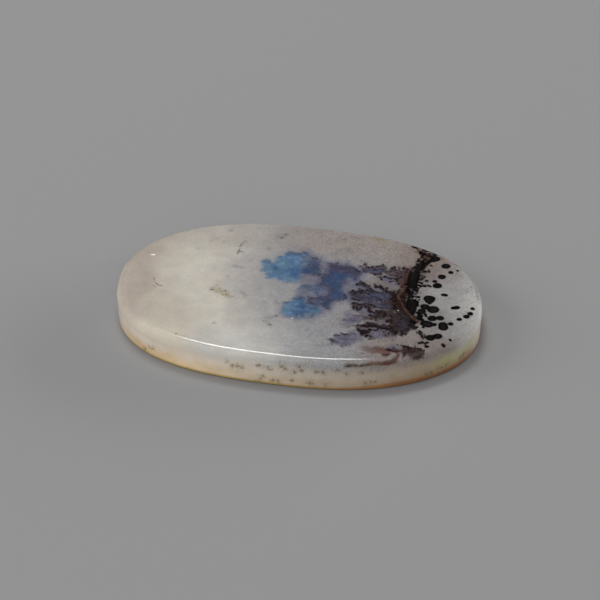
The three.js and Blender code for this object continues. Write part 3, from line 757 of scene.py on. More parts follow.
def zones(stops):
    """A colour ramp's stops, from places with display colours."""
    return [(place, srgb(red, green, blue)) for place, red, green, blue in stops]


def colour_property(name, description, colour):
    """A colour that the panel shows, given as a display colour."""
    return FloatVectorProperty(
        name=name, description=description, subtype="COLOR", size=3, min=0, max=1, default=srgb(*colour)
    )


class StoneSizes(bpy.types.PropertyGroup):
    """The measures of the stone's edge, which its length, width and thickness leave open."""

    shoulder: FloatProperty(
        name="Shoulder", description="Radius between the top and the wall",
        default=1.05 * MM, min=0.2 * MM, max=1.5 * MM, precision=5, unit="LENGTH",
    )
    crown: FloatProperty(
        name="Crown", description="How far the middle of the top stands above its rim",
        default=0.12 * MM, min=0, max=0.5 * MM, precision=5, unit="LENGTH",
    )
    tuck: FloatProperty(
        name="Wall tuck", description="How far the wall leans in on its way down",
        default=0.09 * MM, min=0, max=0.5 * MM, precision=5, unit="LENGTH",
    )
    bevel: FloatProperty(
        name="Base bevel", description="Rounding between the wall and the base",
        default=0.3 * MM, min=0.05 * MM, max=0.8 * MM, precision=5, unit="LENGTH",
    )


class StoneColours(bpy.types.PropertyGroup):
    """The colours of the agate and of the minerals in it."""

    blue: colour_property("Blue plume", "The bright part of the plumes", (86, 115, 147))
    pale_blue: colour_property("Pale plume", "Sea-green parts of the plumes", (106, 134, 152))
    indigo: colour_property("Indigo plume", "The dark part of the plumes", (64, 70, 96))
    violet: colour_property("Violet lobe", "Faint lobes deep in the stone", (100, 102, 120))
    plum: colour_property("Plum branch", "The reddish branch along the front", (112, 80, 72))
    dendrite: colour_property("Dendrite", "The fine dark edge of each dendrite", (36, 26, 28))
    dendrite_heart: colour_property("Dendrite heart", "The inside of each dendrite", (74, 72, 84))
    manganese: colour_property("Manganese", "The black band and dots", (7, 5, 5))
    rust: colour_property("Rust", "The iron seam", (102, 78, 67))
    # painted highlights: the white of the spots painted where tiny pits would catch the light
    glint: colour_property("Glint", "Tiny pits that catch the light", (250, 250, 248))


class StageSettings(bpy.types.PropertyGroup):
    """The floor, the lights and the camera."""

    floor: colour_property("Floor", "The plain floor", (147, 147, 148))
    azimuth: FloatProperty(
        name="Camera azimuth", description="How far the camera stands to the right of the front",
        default=math.radians(10.6), subtype="ANGLE",
    )
    elevation: FloatProperty(
        name="Camera elevation", description="How far the camera looks down",
        default=math.radians(35), subtype="ANGLE",
    )
    distance: FloatProperty(
        name="Camera distance", description="From the camera to the stone",
        default=0.36, min=0.1, unit="LENGTH",
    )
    lens: FloatProperty(
        name="Lens", description="Focal length in millimetres on a 36 mm sensor", default=209.1, min=10,
    )


def outline_angles():
    """The oval's angle at each outline point, in radians, crowded towards +X."""
    turn = np.linspace(0, 2 * np.pi, OUTLINE_POINTS, endpoint=False)
    return turn - OUTLINE_CROWDING * np.sin(turn)


def oval_outline():
    """The stone's widest outline and the outward normals along it.

    The radius at an angle is a superellipse's, (|cos|^n + |sin|^n)^(-1/n), times 1 plus the small
    waves that hand grinding left, and the points are then stretched to fill the solid's box. The
    normals are the outline's tangents turned by a quarter, from the points on either side.
    """
    angle = outline_angles()
    swell = 1 + sum(c * np.cos(lobes * angle) + s * np.sin(lobes * angle) for lobes, c, s in HAND_CUT)
    spread = np.abs(np.cos(angle)) ** OVAL_EXPONENT + np.abs(np.sin(angle)) ** OVAL_EXPONENT
    radius = swell * spread ** (-1 / OVAL_EXPONENT)
    points = np.stack([radius * np.cos(angle), radius * np.sin(angle)], axis=1)
    low, high = points.min(axis=0), points.max(axis=0)
    box_low, box_high = np.array(LOWEST)[:2], np.array(HIGHEST)[:2]
    points = box_low + (points - low) / (high - low) * (box_high - box_low)
    tangent = np.roll(points, -1, axis=0) - np.roll(points, 1, axis=0)
    normals = np.stack([tangent[:, 1], -tangent[:, 0]], axis=1)
    normals /= np.linalg.norm(normals, axis=1, keepdims=True)
    return points, normals


def stone_sides(sizes):
    """The stone's section below the crown, as rows of (inset from the outline, height, share).

    It runs over the underside, a quarter circle for the base bevel, the straight leaning wall and a
    quarter circle for the shoulder. The share shrinks the underside's rings towards the middle.
    """
    def rows(inset, height, share=1.0):
        return np.stack(np.broadcast_arrays(inset, height, share), axis=1)

    wall_top = HIGHEST.z - LOWEST.z - sizes.crown - sizes.shoulder
    under = np.linspace(0, 1, UNDERSIDE_RINGS, endpoint=False)
    underside = rows(sizes.tuck + sizes.bevel, 0.0, under)

    turn = np.linspace(0, np.pi / 2, BEVEL_RINGS, endpoint=False)
    bevel = rows(sizes.tuck + sizes.bevel * (1 - np.sin(turn)), sizes.bevel * (1 - np.cos(turn)))

    climb = np.linspace(0, 1, WALL_RINGS, endpoint=False)
    wall = rows(sizes.tuck * (1 - climb), sizes.bevel + (wall_top - sizes.bevel) * climb)

    turn = np.linspace(0, np.pi / 2, SHOULDER_RINGS, endpoint=False)
    shoulder = rows(sizes.shoulder * (1 - np.cos(turn)), wall_top + sizes.shoulder * np.sin(turn))
    return np.concatenate([underside, bevel, wall, shoulder])


def crown_rings(sizes, outline, normals):
    """The rings of the top face, from its rim to the focus they close on.

    A point of the crown stands sizes.crown * (1 - r^2) above the rim, where r is its distance from
    the middle as a share of the rim's distance in the same direction.
    """
    rim = outline - normals * sizes.shoulder
    focus = np.array(CROWN_FOCUS)
    share = np.linspace(1, 0, CROWN_RINGS)[:, None, None]
    flat = focus + (rim - focus) * share
    rim_turn, rim_radius = np.arctan2(rim[:, 1], rim[:, 0]), np.linalg.norm(rim, axis=1)
    turn = np.arctan2(flat[..., 1], flat[..., 0])
    radius = np.interp(turn, rim_turn, rim_radius, period=2 * np.pi)
    spread = np.clip(np.linalg.norm(flat, axis=2) / radius, 0, 1)
    rim_height = HIGHEST.z - sizes.crown
    return np.concatenate([flat, (rim_height + sizes.crown * (1 - spread**2))[..., None]], axis=2)


def stone_surface(sizes):
    """The stone's vertices and faces: rings round the sides, then rings over the crown.

    A side ring is the outline moved inwards along its normals by the row's inset, shrunk towards
    the middle by its share and set at its height. The first and last rings have shrunk to a point,
    so each is one vertex that closes the surface with a fan.
    """
    outline, normals = oval_outline()
    inset, height, share = (column[:, None] for column in stone_sides(sizes).T)
    flat = (outline[None] - normals[None] * inset[..., None]) * share[..., None]
    level = np.broadcast_to(LOWEST.z + height[..., None], flat.shape[:2] + (1,))
    rings = np.concatenate([np.concatenate([flat, level], axis=2), crown_rings(sizes, outline, normals)])
    points = np.concatenate([rings[:1, 0], rings[1:-1].reshape(-1, 3), rings[-1:, 0]])

    ring = np.arange(len(rings) - 3)[:, None] * OUTLINE_POINTS + 1
    here = np.arange(OUTLINE_POINTS)
    beside = (here + 1) % OUTLINE_POINTS
    low_left, low_right = ring + here, ring + beside
    quads = np.stack([low_left, low_right, low_right + OUTLINE_POINTS, low_left + OUTLINE_POINTS], axis=-1)
    bottom, top, last = 0, len(points) - 1, len(points) - 1 - OUTLINE_POINTS
    underside = np.stack([np.full_like(here, bottom), beside + 1, here + 1], axis=1)
    crown = np.stack([np.full_like(here, top), last + here, last + beside], axis=1)
    faces = quads.reshape(-1, 4).tolist() + underside.tolist() + crown.tolist()
    return points, faces


def wall_spots(marks):
    """The wall's spots as strokes of one disc, each where the outline passes its angle, at its height."""
    outline, _ = oval_outline()
    degrees = np.degrees(outline_angles())
    spots = []
    for angle, height, radius in marks:
        x, y = outline[np.argmin(np.abs(degrees - angle))] / MM
        spots.append([(x, y, height, radius)])
    return spots


def reach_into_strokes(strokes, points, blend=0):
    """How far inside the strokes each point lies, in millimetres, and negative outside them.

    On a bar, the reach is the radius at the nearest place of its middle line less the distance to
    that place. The bars' reaches are joined by taking the largest, or with a blend by the soft
    maximum blend * log(sum(exp(reach / blend))), which rounds the hollows between them.
    """
    reach = np.full(len(points), NOWHERE)
    for run in strokes:
        for start, end in zip(run, run[1:] or run):
            start, end = np.array(start), np.array(end)
            along = end[:-1] - start[:-1]
            share = np.clip((points - start[:-1]) @ along / (along @ along or 1), 0, 1)
            nearest = start[:-1] + share[:, None] * along
            radius = start[-1] + share * (end[-1] - start[-1])
            bar = radius - np.linalg.norm(points - nearest, axis=1)
            if blend:
                reach = blend * np.logaddexp(reach / blend, bar / blend)
            else:
                reach = np.maximum(reach, bar)
    return np.maximum(reach, NOWHERE)


def reach_into_patches(patches, places):
    """How far inside the closed outlines each flat place lies: its distance to the nearest side.

    A place is inside when a line from it towards +X crosses the outline an odd number of times.
    Outside it the distance counts as negative.
    """
    reach = np.full(len(places), NOWHERE)
    for patch in patches:
        distance = np.full(len(places), -NOWHERE)
        inside = np.zeros(len(places), dtype=bool)
        for start, end in zip(patch, patch[1:] + patch[:1]):
            along = np.subtract(end, start)
            away = places - start
            share = np.clip(away @ along / (along @ along), 0, 1)
            distance = np.minimum(distance, np.linalg.norm(away - share[:, None] * along, axis=1))
            passes = (places[:, 1] > start[1]) != (places[:, 1] > end[1])
            inside ^= passes & (away[:, 0] < away[:, 1] * along[0] / (along[1] or 1))
        reach = np.maximum(reach, np.where(inside, distance, -distance))
    return reach


def add_reach(mesh, name, values):
    """Keeps one reach for each vertex, for the material to read."""
    attribute = mesh.attributes.new(name, "FLOAT", "POINT")
    attribute.data.foreach_set("value", values.astype(np.float32))


def mark_stone(mesh, points, sizes):
    """Works out where every mark lies on the stone and keeps it on the mesh.

    A mark on the top face reaches through the stone's skin and fades down the wall: the depth of a
    wall point below the skin counts against its reach. The underside has the same marks, seen
    through the stone and so a little smaller. The crest is the reach of the place a little further
    back, which is negative along the upper edge of a mark.
    """
    millimetres = (points - np.array((0, 0, LOWEST.z))) / MM
    places = millimetres[:, :2]
    depth = np.clip(MARKED_SKIN - millimetres[:, 2], 0, None)
    depth[millimetres[:, 2] < sizes.bevel / MM / 2] = SEEN_THROUGH

    def patches(marks):
        return reach_into_patches(marks, places) - depth

    def strokes(marks, blend=0.0):
        return reach_into_strokes(marks, places, blend) - depth

    blue, indigo = patches(BLUE_PATCHES), patches(INDIGO_PATCHES)
    add_reach(mesh, "plume", np.maximum(blue, indigo))
    add_reach(mesh, "indigo", indigo - blue)
    add_reach(mesh, "violet", patches(VIOLET_PATCHES))
    add_reach(mesh, "plum", patches(PLUM_PATCHES))
    add_reach(mesh, "undergrowth", patches(UNDERGROWTH))
    add_reach(mesh, "dendrite", np.maximum(patches(DENDRITE_PATCHES), strokes(DENDRITE_STROKES, 0.04)))
    add_reach(mesh, "manganese", strokes(MANGANESE) + BLACK_HALO)
    for name, marks, blend in STROKE_MARKS:
        add_reach(mesh, name, strokes(marks, blend))

    crested = INDIGO_PATCHES + BLUE_PATCHES + DENDRITE_PATCHES + VIOLET_PATCHES
    add_reach(mesh, "crest", reach_into_patches(crested, places + np.array((0, CREST))))
    add_reach(mesh, "fleck", reach_into_strokes(wall_spots(WALL_FLECKS), millimetres))
    add_reach(mesh, "moss", np.clip(reach_into_strokes(wall_spots(MOSS), millimetres, 0.3), 0, 1))


class Wiring:
    """Adds nodes to one tree. Each method gives back the new node's output socket."""

    def __init__(self, tree):
        self.tree = tree

    def node(self, kind, inputs=None, output=0, **settings):
        """One node with its settings, and its inputs by name or number as values or sockets."""
        made = self.tree.nodes.new(kind)
        for name, value in settings.items():
            setattr(made, name, value)
        for key, value in (inputs or {}).items():
            socket = made.inputs[key]
            if isinstance(value, bpy.types.NodeSocket):
                self.tree.links.new(value, socket)
            elif isinstance(value, tuple) and socket.type == "RGBA" and len(value) == 3:
                socket.default_value = (*value, 1)
            else:
                socket.default_value = value
        return made.outputs[output]

    def math(self, operation, first, second=0.0, third=0.0, clamp=False):
        values = {0: first, 1: second, 2: third}
        return self.node("ShaderNodeMath", values, operation=operation, use_clamp=clamp)

    def product(self, first, *others):
        for other in others:
            first = self.math("MULTIPLY", first, other)
        return first

    def centred(self, value):
        """A noise of 0 to 1, moved to run from -0.5 to 0.5."""
        return self.math("SUBTRACT", value, 0.5)

    def mix(self, factor, under, over, blend="MIX"):
        """The colour under, with the colour over laid on it by the factor."""
        mixed = {0: factor, 6: under, 7: over}
        return self.node("ShaderNodeMix", mixed, output=2, data_type="RGBA", blend_type=blend)

    def lay(self, under, over, *shares):
        """The colour under, with the colour over laid on it by the product of the shares."""
        return self.mix(self.product(*shares), under, over)

    def smooth(self, value, low, high, to_low=0.0, to_high=1.0):
        """An S-curve from to_low at low up or down to to_high at high."""
        values = {0: value, 1: low, 2: high, 3: to_low, 4: to_high}
        return self.node("ShaderNodeMapRange", values, interpolation_type="SMOOTHSTEP")

    def span(self, value, low, high):
        """How far a value is on its way from low to high, as a share of 0 to 1."""
        return self.node("ShaderNodeMapRange", {0: value, 1: low, 2: high})

    def noise(self, position, scale, detail=2.0, roughness=0.5, distortion=0.0):
        return self.node("ShaderNodeTexNoise", {
            "Vector": position, "Scale": scale, "Detail": detail, "Roughness": roughness,
            "Distortion": distortion,
        })

    def ramp(self, value, stops):
        """A colour for each value, from stops of (place, colour) between 0 and 1."""
        made = self.tree.nodes.new("ShaderNodeValToRGB")
        self.tree.links.new(value, made.inputs[0])
        elements = made.color_ramp.elements
        while len(elements) < len(stops):
            elements.new(0.5)
        for element, (place, colour) in zip(elements, stops):
            element.position = place
            element.color = (*colour, 1)
        return made.outputs[0]

    def attribute(self, name):
        return self.node("ShaderNodeAttribute", output=2, attribute_name=name)

    def group(self, tree, inputs, output=0):
        return self.node("ShaderNodeGroup", inputs, output, node_tree=tree)


def new_group(name, inputs, outputs):
    """An empty shader group: its sockets are given as name to (kind, default)."""
    tree = bpy.data.node_groups.new(name, "ShaderNodeTree")
    for label, (kind, default) in inputs.items():
        socket = tree.interface.new_socket(label, in_out="INPUT", socket_type="NodeSocket" + kind)
        if default is not None:
            socket.default_value = default
    for label, kind in outputs.items():
        tree.interface.new_socket(label, in_out="OUTPUT", socket_type="NodeSocket" + kind)
    start, end = tree.nodes.new("NodeGroupInput"), tree.nodes.new("NodeGroupOutput")
    return tree, start.outputs, end.inputs


def frayed_edge_group():
    """A mask of a mark: its reach is pushed about by noise and lobes, then cut with a soft edge.

    Fray is how far the edge moves and Feather how wide its soft part is, both in millimetres.
    Grain is how many bumps it has in a millimetre, and Lobes the share of round lobes among them.
    """
    inputs = {
        "Reach": ("Float", 0.0), "Position": ("Vector", None), "Fray": ("Float", 0.1),
        "Grain": ("Float", 3.0), "Feather": ("Float", 0.1), "Lobes": ("Float", 0.0),
    }
    tree, start, end = new_group("frayed_edge", inputs, {"Mask": "Float", "Reach": "Float"})
    wiring = Wiring(tree)
    ragged = wiring.noise(start["Position"], start["Grain"], detail=4.0, roughness=0.65)
    ragged = wiring.product(wiring.centred(ragged), 4.0)
    cells = wiring.node("ShaderNodeTexVoronoi", {"Vector": start["Position"], "Scale": start["Grain"]})
    lobed = wiring.product(wiring.math("SUBTRACT", 0.45, cells), 2.0)
    lobe_share = wiring.product(lobed, start["Lobes"])
    ragged_share = wiring.product(ragged, wiring.math("SUBTRACT", 1.0, start["Lobes"]))
    push = wiring.math("ADD", lobe_share, ragged_share)
    pushed = wiring.math("MULTIPLY_ADD", push, start["Fray"], start["Reach"])
    half = wiring.product(start["Feather"], 0.5)
    minus_half = wiring.product(half, -1.0)
    tree.links.new(wiring.smooth(pushed, minus_half, half), end["Mask"])
    tree.links.new(pushed, end["Reach"])
    return tree


def scale_group():
    """Overlapping scales, Grain of them in a millimetre.

    They are the cells round scattered points, on a position that noise pushes about by Warp. Value
    is 1 in the heart of each scale and 0 along its rim, and Rim is 1 along its upper rim only.
    """
    inputs = {"Position": ("Vector", None), "Grain": ("Float", 2.0), "Warp": ("Float", 0.3)}
    tree, start, end = new_group("scales", inputs, {"Value": "Float", "Rim": "Float"})
    wiring = Wiring(tree)
    wander = wiring.node("ShaderNodeTexNoise", {"Vector": start["Position"], "Scale": 1.7}, output=1)
    centred = wiring.node("ShaderNodeVectorMath", {0: wander, 1: (0.5, 0.5, 0.5)}, operation="SUBTRACT")
    pushed = wiring.node("ShaderNodeVectorMath", {
        0: centred, 1: start["Warp"], 2: start["Position"],
    }, operation="MULTIPLY_ADD")
    cells = wiring.node("ShaderNodeTexVoronoi", {"Vector": pushed, "Scale": start["Grain"]})
    middle = cells.node.outputs["Position"]
    away = wiring.node("ShaderNodeVectorMath", {0: pushed, 1: middle}, operation="SUBTRACT")
    up = wiring.product(wiring.node("ShaderNodeSeparateXYZ", {0: away}, output=1), start["Grain"])
    rim = wiring.product(wiring.smooth(cells, 0.28, 0.55), wiring.smooth(up, 0.0, 0.35))
    tree.links.new(wiring.smooth(cells, 0.15, 0.62, 1.0, 0.0), end["Value"])
    tree.links.new(rim, end["Rim"])
    return tree


def mottle_group():
    """A colour that drifts between two others in soft patches, Size patches to a millimetre."""
    inputs = {
        "First": ("Color", None), "Second": ("Color", None), "Position": ("Vector", None),
        "Size": ("Float", 1.0), "Contrast": ("Float", 3.0),
    }
    tree, start, end = new_group("mottle", inputs, {"Color": "Color"})
    wiring = Wiring(tree)
    patches = wiring.centred(wiring.noise(start["Position"], start["Size"], detail=3.0))
    share = wiring.math("MULTIPLY_ADD", patches, start["Contrast"], 0.5, clamp=True)
    tree.links.new(wiring.mix(share, start["First"], start["Second"]), end["Color"])
    return tree


class AgateWiring(Wiring):
    """The wiring of the agate's material, with the coordinates and textures that its layers share.

    The position and its x, y and z are in millimetres. The spiky position draws a pattern out
    towards the back, and the flowing one along the stone at a slant. Florets are scales that shape
    the plumes' and dendrites' edges, by the swell or more weakly by the ripple, and darken their
    upper rims, and buds are smaller ones. Cleared is 1, and less in the pale clearings. Crest is 1
    along the marks' upper edges.
    """

    def __init__(self, tree, colours):
        super().__init__(tree)
        self.colours = colours
        self.frayed, self.scales, self.mottle = frayed_edge_group(), scale_group(), mottle_group()

        place = self.node("ShaderNodeTexCoord", output=3)
        self.position = self.node("ShaderNodeMapping", {"Vector": place, "Scale": (1 / MM,) * 3})
        self.x, self.y, self.z = self.node("ShaderNodeSeparateXYZ", {0: self.position}).node.outputs
        self.spiky = self.node("ShaderNodeMapping", {"Vector": self.position, "Scale": (1.0, 0.6, 1.0)})
        self.flowing = self.node("ShaderNodeMapping", {
            "Vector": self.position, "Rotation": (0, 0, math.radians(-10)), "Scale": (0.5, 1.4, 1.0),
        })

        self.florets = self.scaled(self.spiky, 2.2, 0.6)
        self.floret_rims = self.florets.node.outputs["Rim"]
        self.bud_rims = self.scaled(self.spiky, 4.6, 0.5).node.outputs["Rim"]
        self.swell = self.math("MULTIPLY_ADD", self.florets, 0.28, -0.13)
        self.ripple = self.product(self.swell, 0.5)
        self.fine = self.noise(self.position, 6.5, detail=2.0, roughness=0.7)
        self.strands = self.noise(self.flowing, 2.6, detail=5.0, roughness=0.65, distortion=0.6)
        self.cleared = self.math("SUBTRACT", 1.0, self.product(self.edge("clearing", 0.1, 4.0, 0.3), 0.7))
        self.crest = self.smooth(self.edge("crest", 0.35, 2.4, 0.3, output=1), -0.3, 0.15, 1.0, 0.0)

    def scaled(self, position, grain, warp):
        """The hearts of overlapping scales, so many to a millimetre."""
        return self.group(self.scales, {"Position": position, "Grain": grain, "Warp": warp})

    def region(self, *curves):
        """A mask of part of the stone: the product of S-curves, each an axis and what smooth takes."""
        return self.product(*(self.smooth(getattr(self, axis), *curve) for axis, *curve in curves))

    def edge(self, name, fray, grain, feather, lobes=0.0, position=None, output=0, wider=0.0, push=None):
        """A mark's mask, from its reach, wider by so many millimetres or pushed about by a value.

        Output 1 is the frayed reach itself.
        """
        reach = self.attribute(name)
        if wider:
            reach = self.math("ADD", reach, wider)
        if push:
            reach = self.math("ADD", reach, push)
        return self.group(self.frayed, {
            "Reach": reach, "Position": position or self.position, "Fray": fray, "Grain": grain,
            "Feather": feather, "Lobes": lobes,
        }, output)

    def glowing(self, colour, name, strength, towards):
        """The colour, turned softly towards another where a glow lies."""
        return self.lay(colour, towards, self.edge(name, 0.3, 1.6, 0.9), strength)

    def mottled(self, first, second, size, contrast=3.0):
        """A colour that drifts between two others, in so many patches to a millimetre."""
        return self.group(self.mottle, {
            "First": first, "Second": second, "Position": self.position, "Size": size,
            "Contrast": contrast,
        })

    def shaded(self, colour, value, low, high, start=0.3, end=0.7):
        """The colour made darker and lighter by a value, from the low share to the high one."""
        level = self.smooth(value, start, end, low, high)
        shade = self.node("ShaderNodeCombineColor", {0: level, 1: level, 2: level})
        return self.mix(1.0, colour, shade, "MULTIPLY")

    def leafy(self, colour, rim_colour, rims, bud_share):
        """The colour with its florets' hearts lighter and their upper rims mixed towards another."""
        textured = self.shaded(self.shaded(colour, self.florets, 0.86, 1.1, 0, 1), self.fine, 0.74, 1.28)
        textured = self.lay(textured, rim_colour, self.bud_rims, bud_share)
        return self.lay(textured, rim_colour, self.floret_rims, rims)


def agate_top(agate, drift, drifted):
    """The top's colour: a tan tip, cream, then clear grey, a painted front sheen, and the regions that
    differ.
    """
    top = agate.ramp(agate.span(drifted, -20.0, 20.0), zones(TOP_ZONES))
    tip_drift = agate.math("MULTIPLY_ADD", drift, 3.0, agate.x)
    top = agate.lay(top, srgb(172, 161, 150), agate.smooth(tip_drift, -16.4, -14.0, 1.0, 0.0), 0.85)
    # painted sheen: the front of the top is painted lighter, most towards the left
    rim_sheen = agate.mix(agate.smooth(agate.x, -11.0, -8.0), srgb(206, 198, 180), srgb(188, 189, 188))
    front_sheen = agate.region(("y", -10.5, -5.5, 0.5, 0.0), ("x", -4.0, 4.0, 1.0, 0.0))
    top = agate.mix(front_sheen, top, rim_sheen)
    for colour, *curves in TOP_REGIONS:
        top = agate.mix(agate.region(*curves), top, srgb(*colour))
    return top


def agate_wall(agate, wander):
    """The wall's colour: its upper and lower part painted lighter as if lit through the stone, its foot
    in a painted amber glow that turns to a painted brown shadow at the right, the tip's glow, the base.
    """
    along = agate.span(agate.x, -19.0, 19.0)
    # painted light: both wall ramps are lighter than the stone, for light glowing through it
    low_wall, high_wall = agate.ramp(along, zones(LOW_WALL)), agate.ramp(along, zones(HIGH_WALL))
    wall = agate.mix(agate.smooth(wander, 0.8, 1.8), low_wall, high_wall)
    # the foot: a painted amber glow of light through the stone, turning to a painted brown shadow at the
    # right
    foot_height = agate.smooth(agate.x, 4.0, 13.0, 0.5, 0.95)
    foot_glow_share = agate.smooth(agate.z, agate.math("SUBTRACT", foot_height, 0.5), foot_height, 1.0, 0.0)
    wall = agate.mix(foot_glow_share, wall, agate.ramp(along, zones(FOOT_GLOW_AND_SHADOW)))
    # painted glow: the right tip's wall is painted pale, for light coming through the thin end
    right_tip_glow = agate.region(("y", -4.5, 1.0, 0.0, 0.9), ("x", 12.0, 17.0), ("z", 0.3, 0.8, 0.4, 1.0))
    wall = agate.mix(right_tip_glow, wall, srgb(204, 196, 186))
    # the lowest line: a painted amber glow at the left that turns to a painted brown shadow at the right
    lowest = agate.region(("z", 0.24, 0.5, 1.0, 0.0), ("x", -18.6, -16.0, 0.0, 0.8))
    wall = agate.mix(lowest, wall, agate.ramp(along, zones(AMBER_GLOW_AND_SHADOW)))
    base = agate.smooth(agate.z, 0.0, BASE_SKIN, 0.65, 0.0)
    wall = agate.mix(base, wall, srgb(192, 178, 152))
    return agate.lay(wall, srgb(142, 150, 78), agate.attribute("moss"), 0.55)


def agate_body(agate):
    """The agate without its marks, as its colour and how grainy it is."""
    drift = agate.centred(agate.noise(agate.position, 0.25, detail=3.0))
    slanted = agate.math("MULTIPLY_ADD", agate.math("MINIMUM", agate.y, 0.0), 0.55, agate.x)
    drifted = agate.math("MULTIPLY_ADD", drift, 5.0, slanted)
    wander = agate.math("MULTIPLY_ADD", agate.centred(agate.noise(agate.position, 0.6)), 1.2, agate.z)
    on_wall = agate.smooth(wander, 1.9, 3.1, 1.0, 0.0)
    body = agate.mix(on_wall, agate_top(agate, drift, drifted), agate_wall(agate, wander))
    off_wall = agate.math("MULTIPLY_ADD", on_wall, -0.8, 1.0)
    return body, agate.product(agate.smooth(drifted, -16.0, 8.0), off_wall)


def grain(agate, colour, grain_share):
    """Cloudiness and fine grain in the agate itself, and its grey smudges."""
    position = agate.position
    colour = agate.shaded(colour, agate.noise(position, 0.6, detail=4.0), 0.95, 1.05)
    speckle = agate.shaded(colour, agate.noise(position, 3.2, detail=3.0, roughness=0.85), 0.83, 1.14)
    colour = agate.mix(agate.math("MULTIPLY_ADD", grain_share, 0.75, 0.15), colour, speckle)
    grit = agate.shaded(colour, agate.noise(position, 5.6, detail=2.0), 0.86, 1.12)
    gritty = agate.region(("x", -3.0, 6.0, 0.3, 1.0), ("x", 12.5, 15.5, 1.0, 0.3), ("z", 2.0, 3.2))
    colour = agate.mix(gritty, colour, grit)
    smudges = agate.smooth(agate.noise(agate.spiky, 1.6, detail=4.0, roughness=0.7), 0.55, 0.72)
    colour = agate.lay(colour, srgb(98, 96, 98), smudges, grain_share, 0.45)
    return agate.lay(colour, srgb(112, 112, 118), agate.edge("smudge", 0.25, 2.2, 0.45), 0.4)


def small_marks(agate, colour):
    """The brown grains, the thin grey marks and the wall's flecks."""
    spots = agate.smooth(agate.scaled(agate.position, 4.6, 0.4), 0.35, 0.8)
    brown = agate.mottled(srgb(134, 116, 76), srgb(64, 54, 38), 3.0, 6.0)
    colour = agate.lay(colour, srgb(146, 132, 90), agate.edge("grains", 0.4, 2.4, 0.6, wider=0.08), 0.42)
    colour = agate.lay(colour, brown, agate.edge("grains", 0.3, 3.0, 0.5), spots, 0.68)
    colour = agate.lay(colour, srgb(70, 64, 60), agate.edge("grey", 0.08, 3.0, 0.2), 0.72)
    colour = agate.lay(colour, srgb(136, 122, 84), agate.edge("fleck", 0.5, 2.6, 0.6, wider=0.18), 0.34)
    return agate.lay(colour, srgb(86, 74, 56), agate.edge("fleck", 0.27, 4.6, 0.26, wider=0.04), 0.6)


def haze(agate, colour):
    """Haze round the marks, from the deepest: the dendrites', their brown stain, mauve and blue."""
    colour = agate.lay(colour, srgb(108, 96, 98), agate.edge("dendrite", 0.3, 1.8, 0.6, wider=0.1), 0.35)
    stain = agate.mottled(srgb(84, 70, 69), srgb(58, 45, 45), 1.4, 4.0)
    stain = agate.leafy(stain, srgb(38, 28, 29), 0.6, 0.2)
    gaps = agate.smooth(agate.strands, 0.4, 0.6, 1.0, 0.35)
    colour = agate.lay(colour, stain, agate.edge("undergrowth", 0.4, 2.0, 0.5), gaps, agate.cleared)
    misty = agate.smooth(agate.x, -1.5, 0.5, 0.15, 0.8)
    plume_haze = agate.mottled(srgb(118, 118, 130), srgb(98, 104, 126), 1.3)
    colour = agate.lay(colour, plume_haze, agate.edge("plume", 0.45, 1.3, 1.1, wider=0.35), misty)
    wash = agate.mottled(srgb(112, 110, 122), srgb(90, 90, 110), 1.6)
    colour = agate.lay(colour, wash, agate.edge("wash", 0.3, 1.6, 0.9, wider=0.1), misty)
    veil = agate.mottled(srgb(92, 106, 130), srgb(74, 88, 116), 1.4)
    veil = agate.leafy(veil, srgb(70, 76, 98), 0.3, 0.1)
    return agate.lay(colour, veil, agate.edge("blue_veil", 0.25, 2.0, 0.5, 0.3, push=agate.ripple), 0.9)


def violet_lobes(agate, colour):
    """The faint violet lobes, deep in the stone."""
    rim_colour = srgb(72, 64, 76)
    violet = agate.mottled(tuple(agate.colours.violet), srgb(112, 102, 112), 1.6)
    violet = agate.leafy(violet, rim_colour, 0.6, 0.2)
    violet = agate.lay(violet, rim_colour, agate.crest, 0.3)
    return agate.lay(colour, violet, agate.edge("violet", 0.2, 3.0, 0.4, 0.3, push=agate.swell), 0.95)


def plum_branch(agate, colour):
    """The reddish branch along the front, fainter at its left end."""
    plum = agate.mottled(tuple(agate.colours.plum), srgb(90, 66, 62), 1.6)
    plum = agate.leafy(plum, srgb(62, 44, 44), 0.5, 0.2)
    plum = agate.mix(agate.smooth(agate.y, -2.0, 1.0), plum, srgb(78, 60, 60))
    at_right, at_back = agate.smooth(agate.x, 8.2, 10.0, 0.5, 0.92), agate.smooth(agate.y, -8.2, -7.6)
    strength = agate.math("MAXIMUM", at_right, at_back)
    return agate.lay(colour, plum, agate.edge("plum", 0.16, 3.0, 0.5, 0.3, push=agate.ripple), strength)


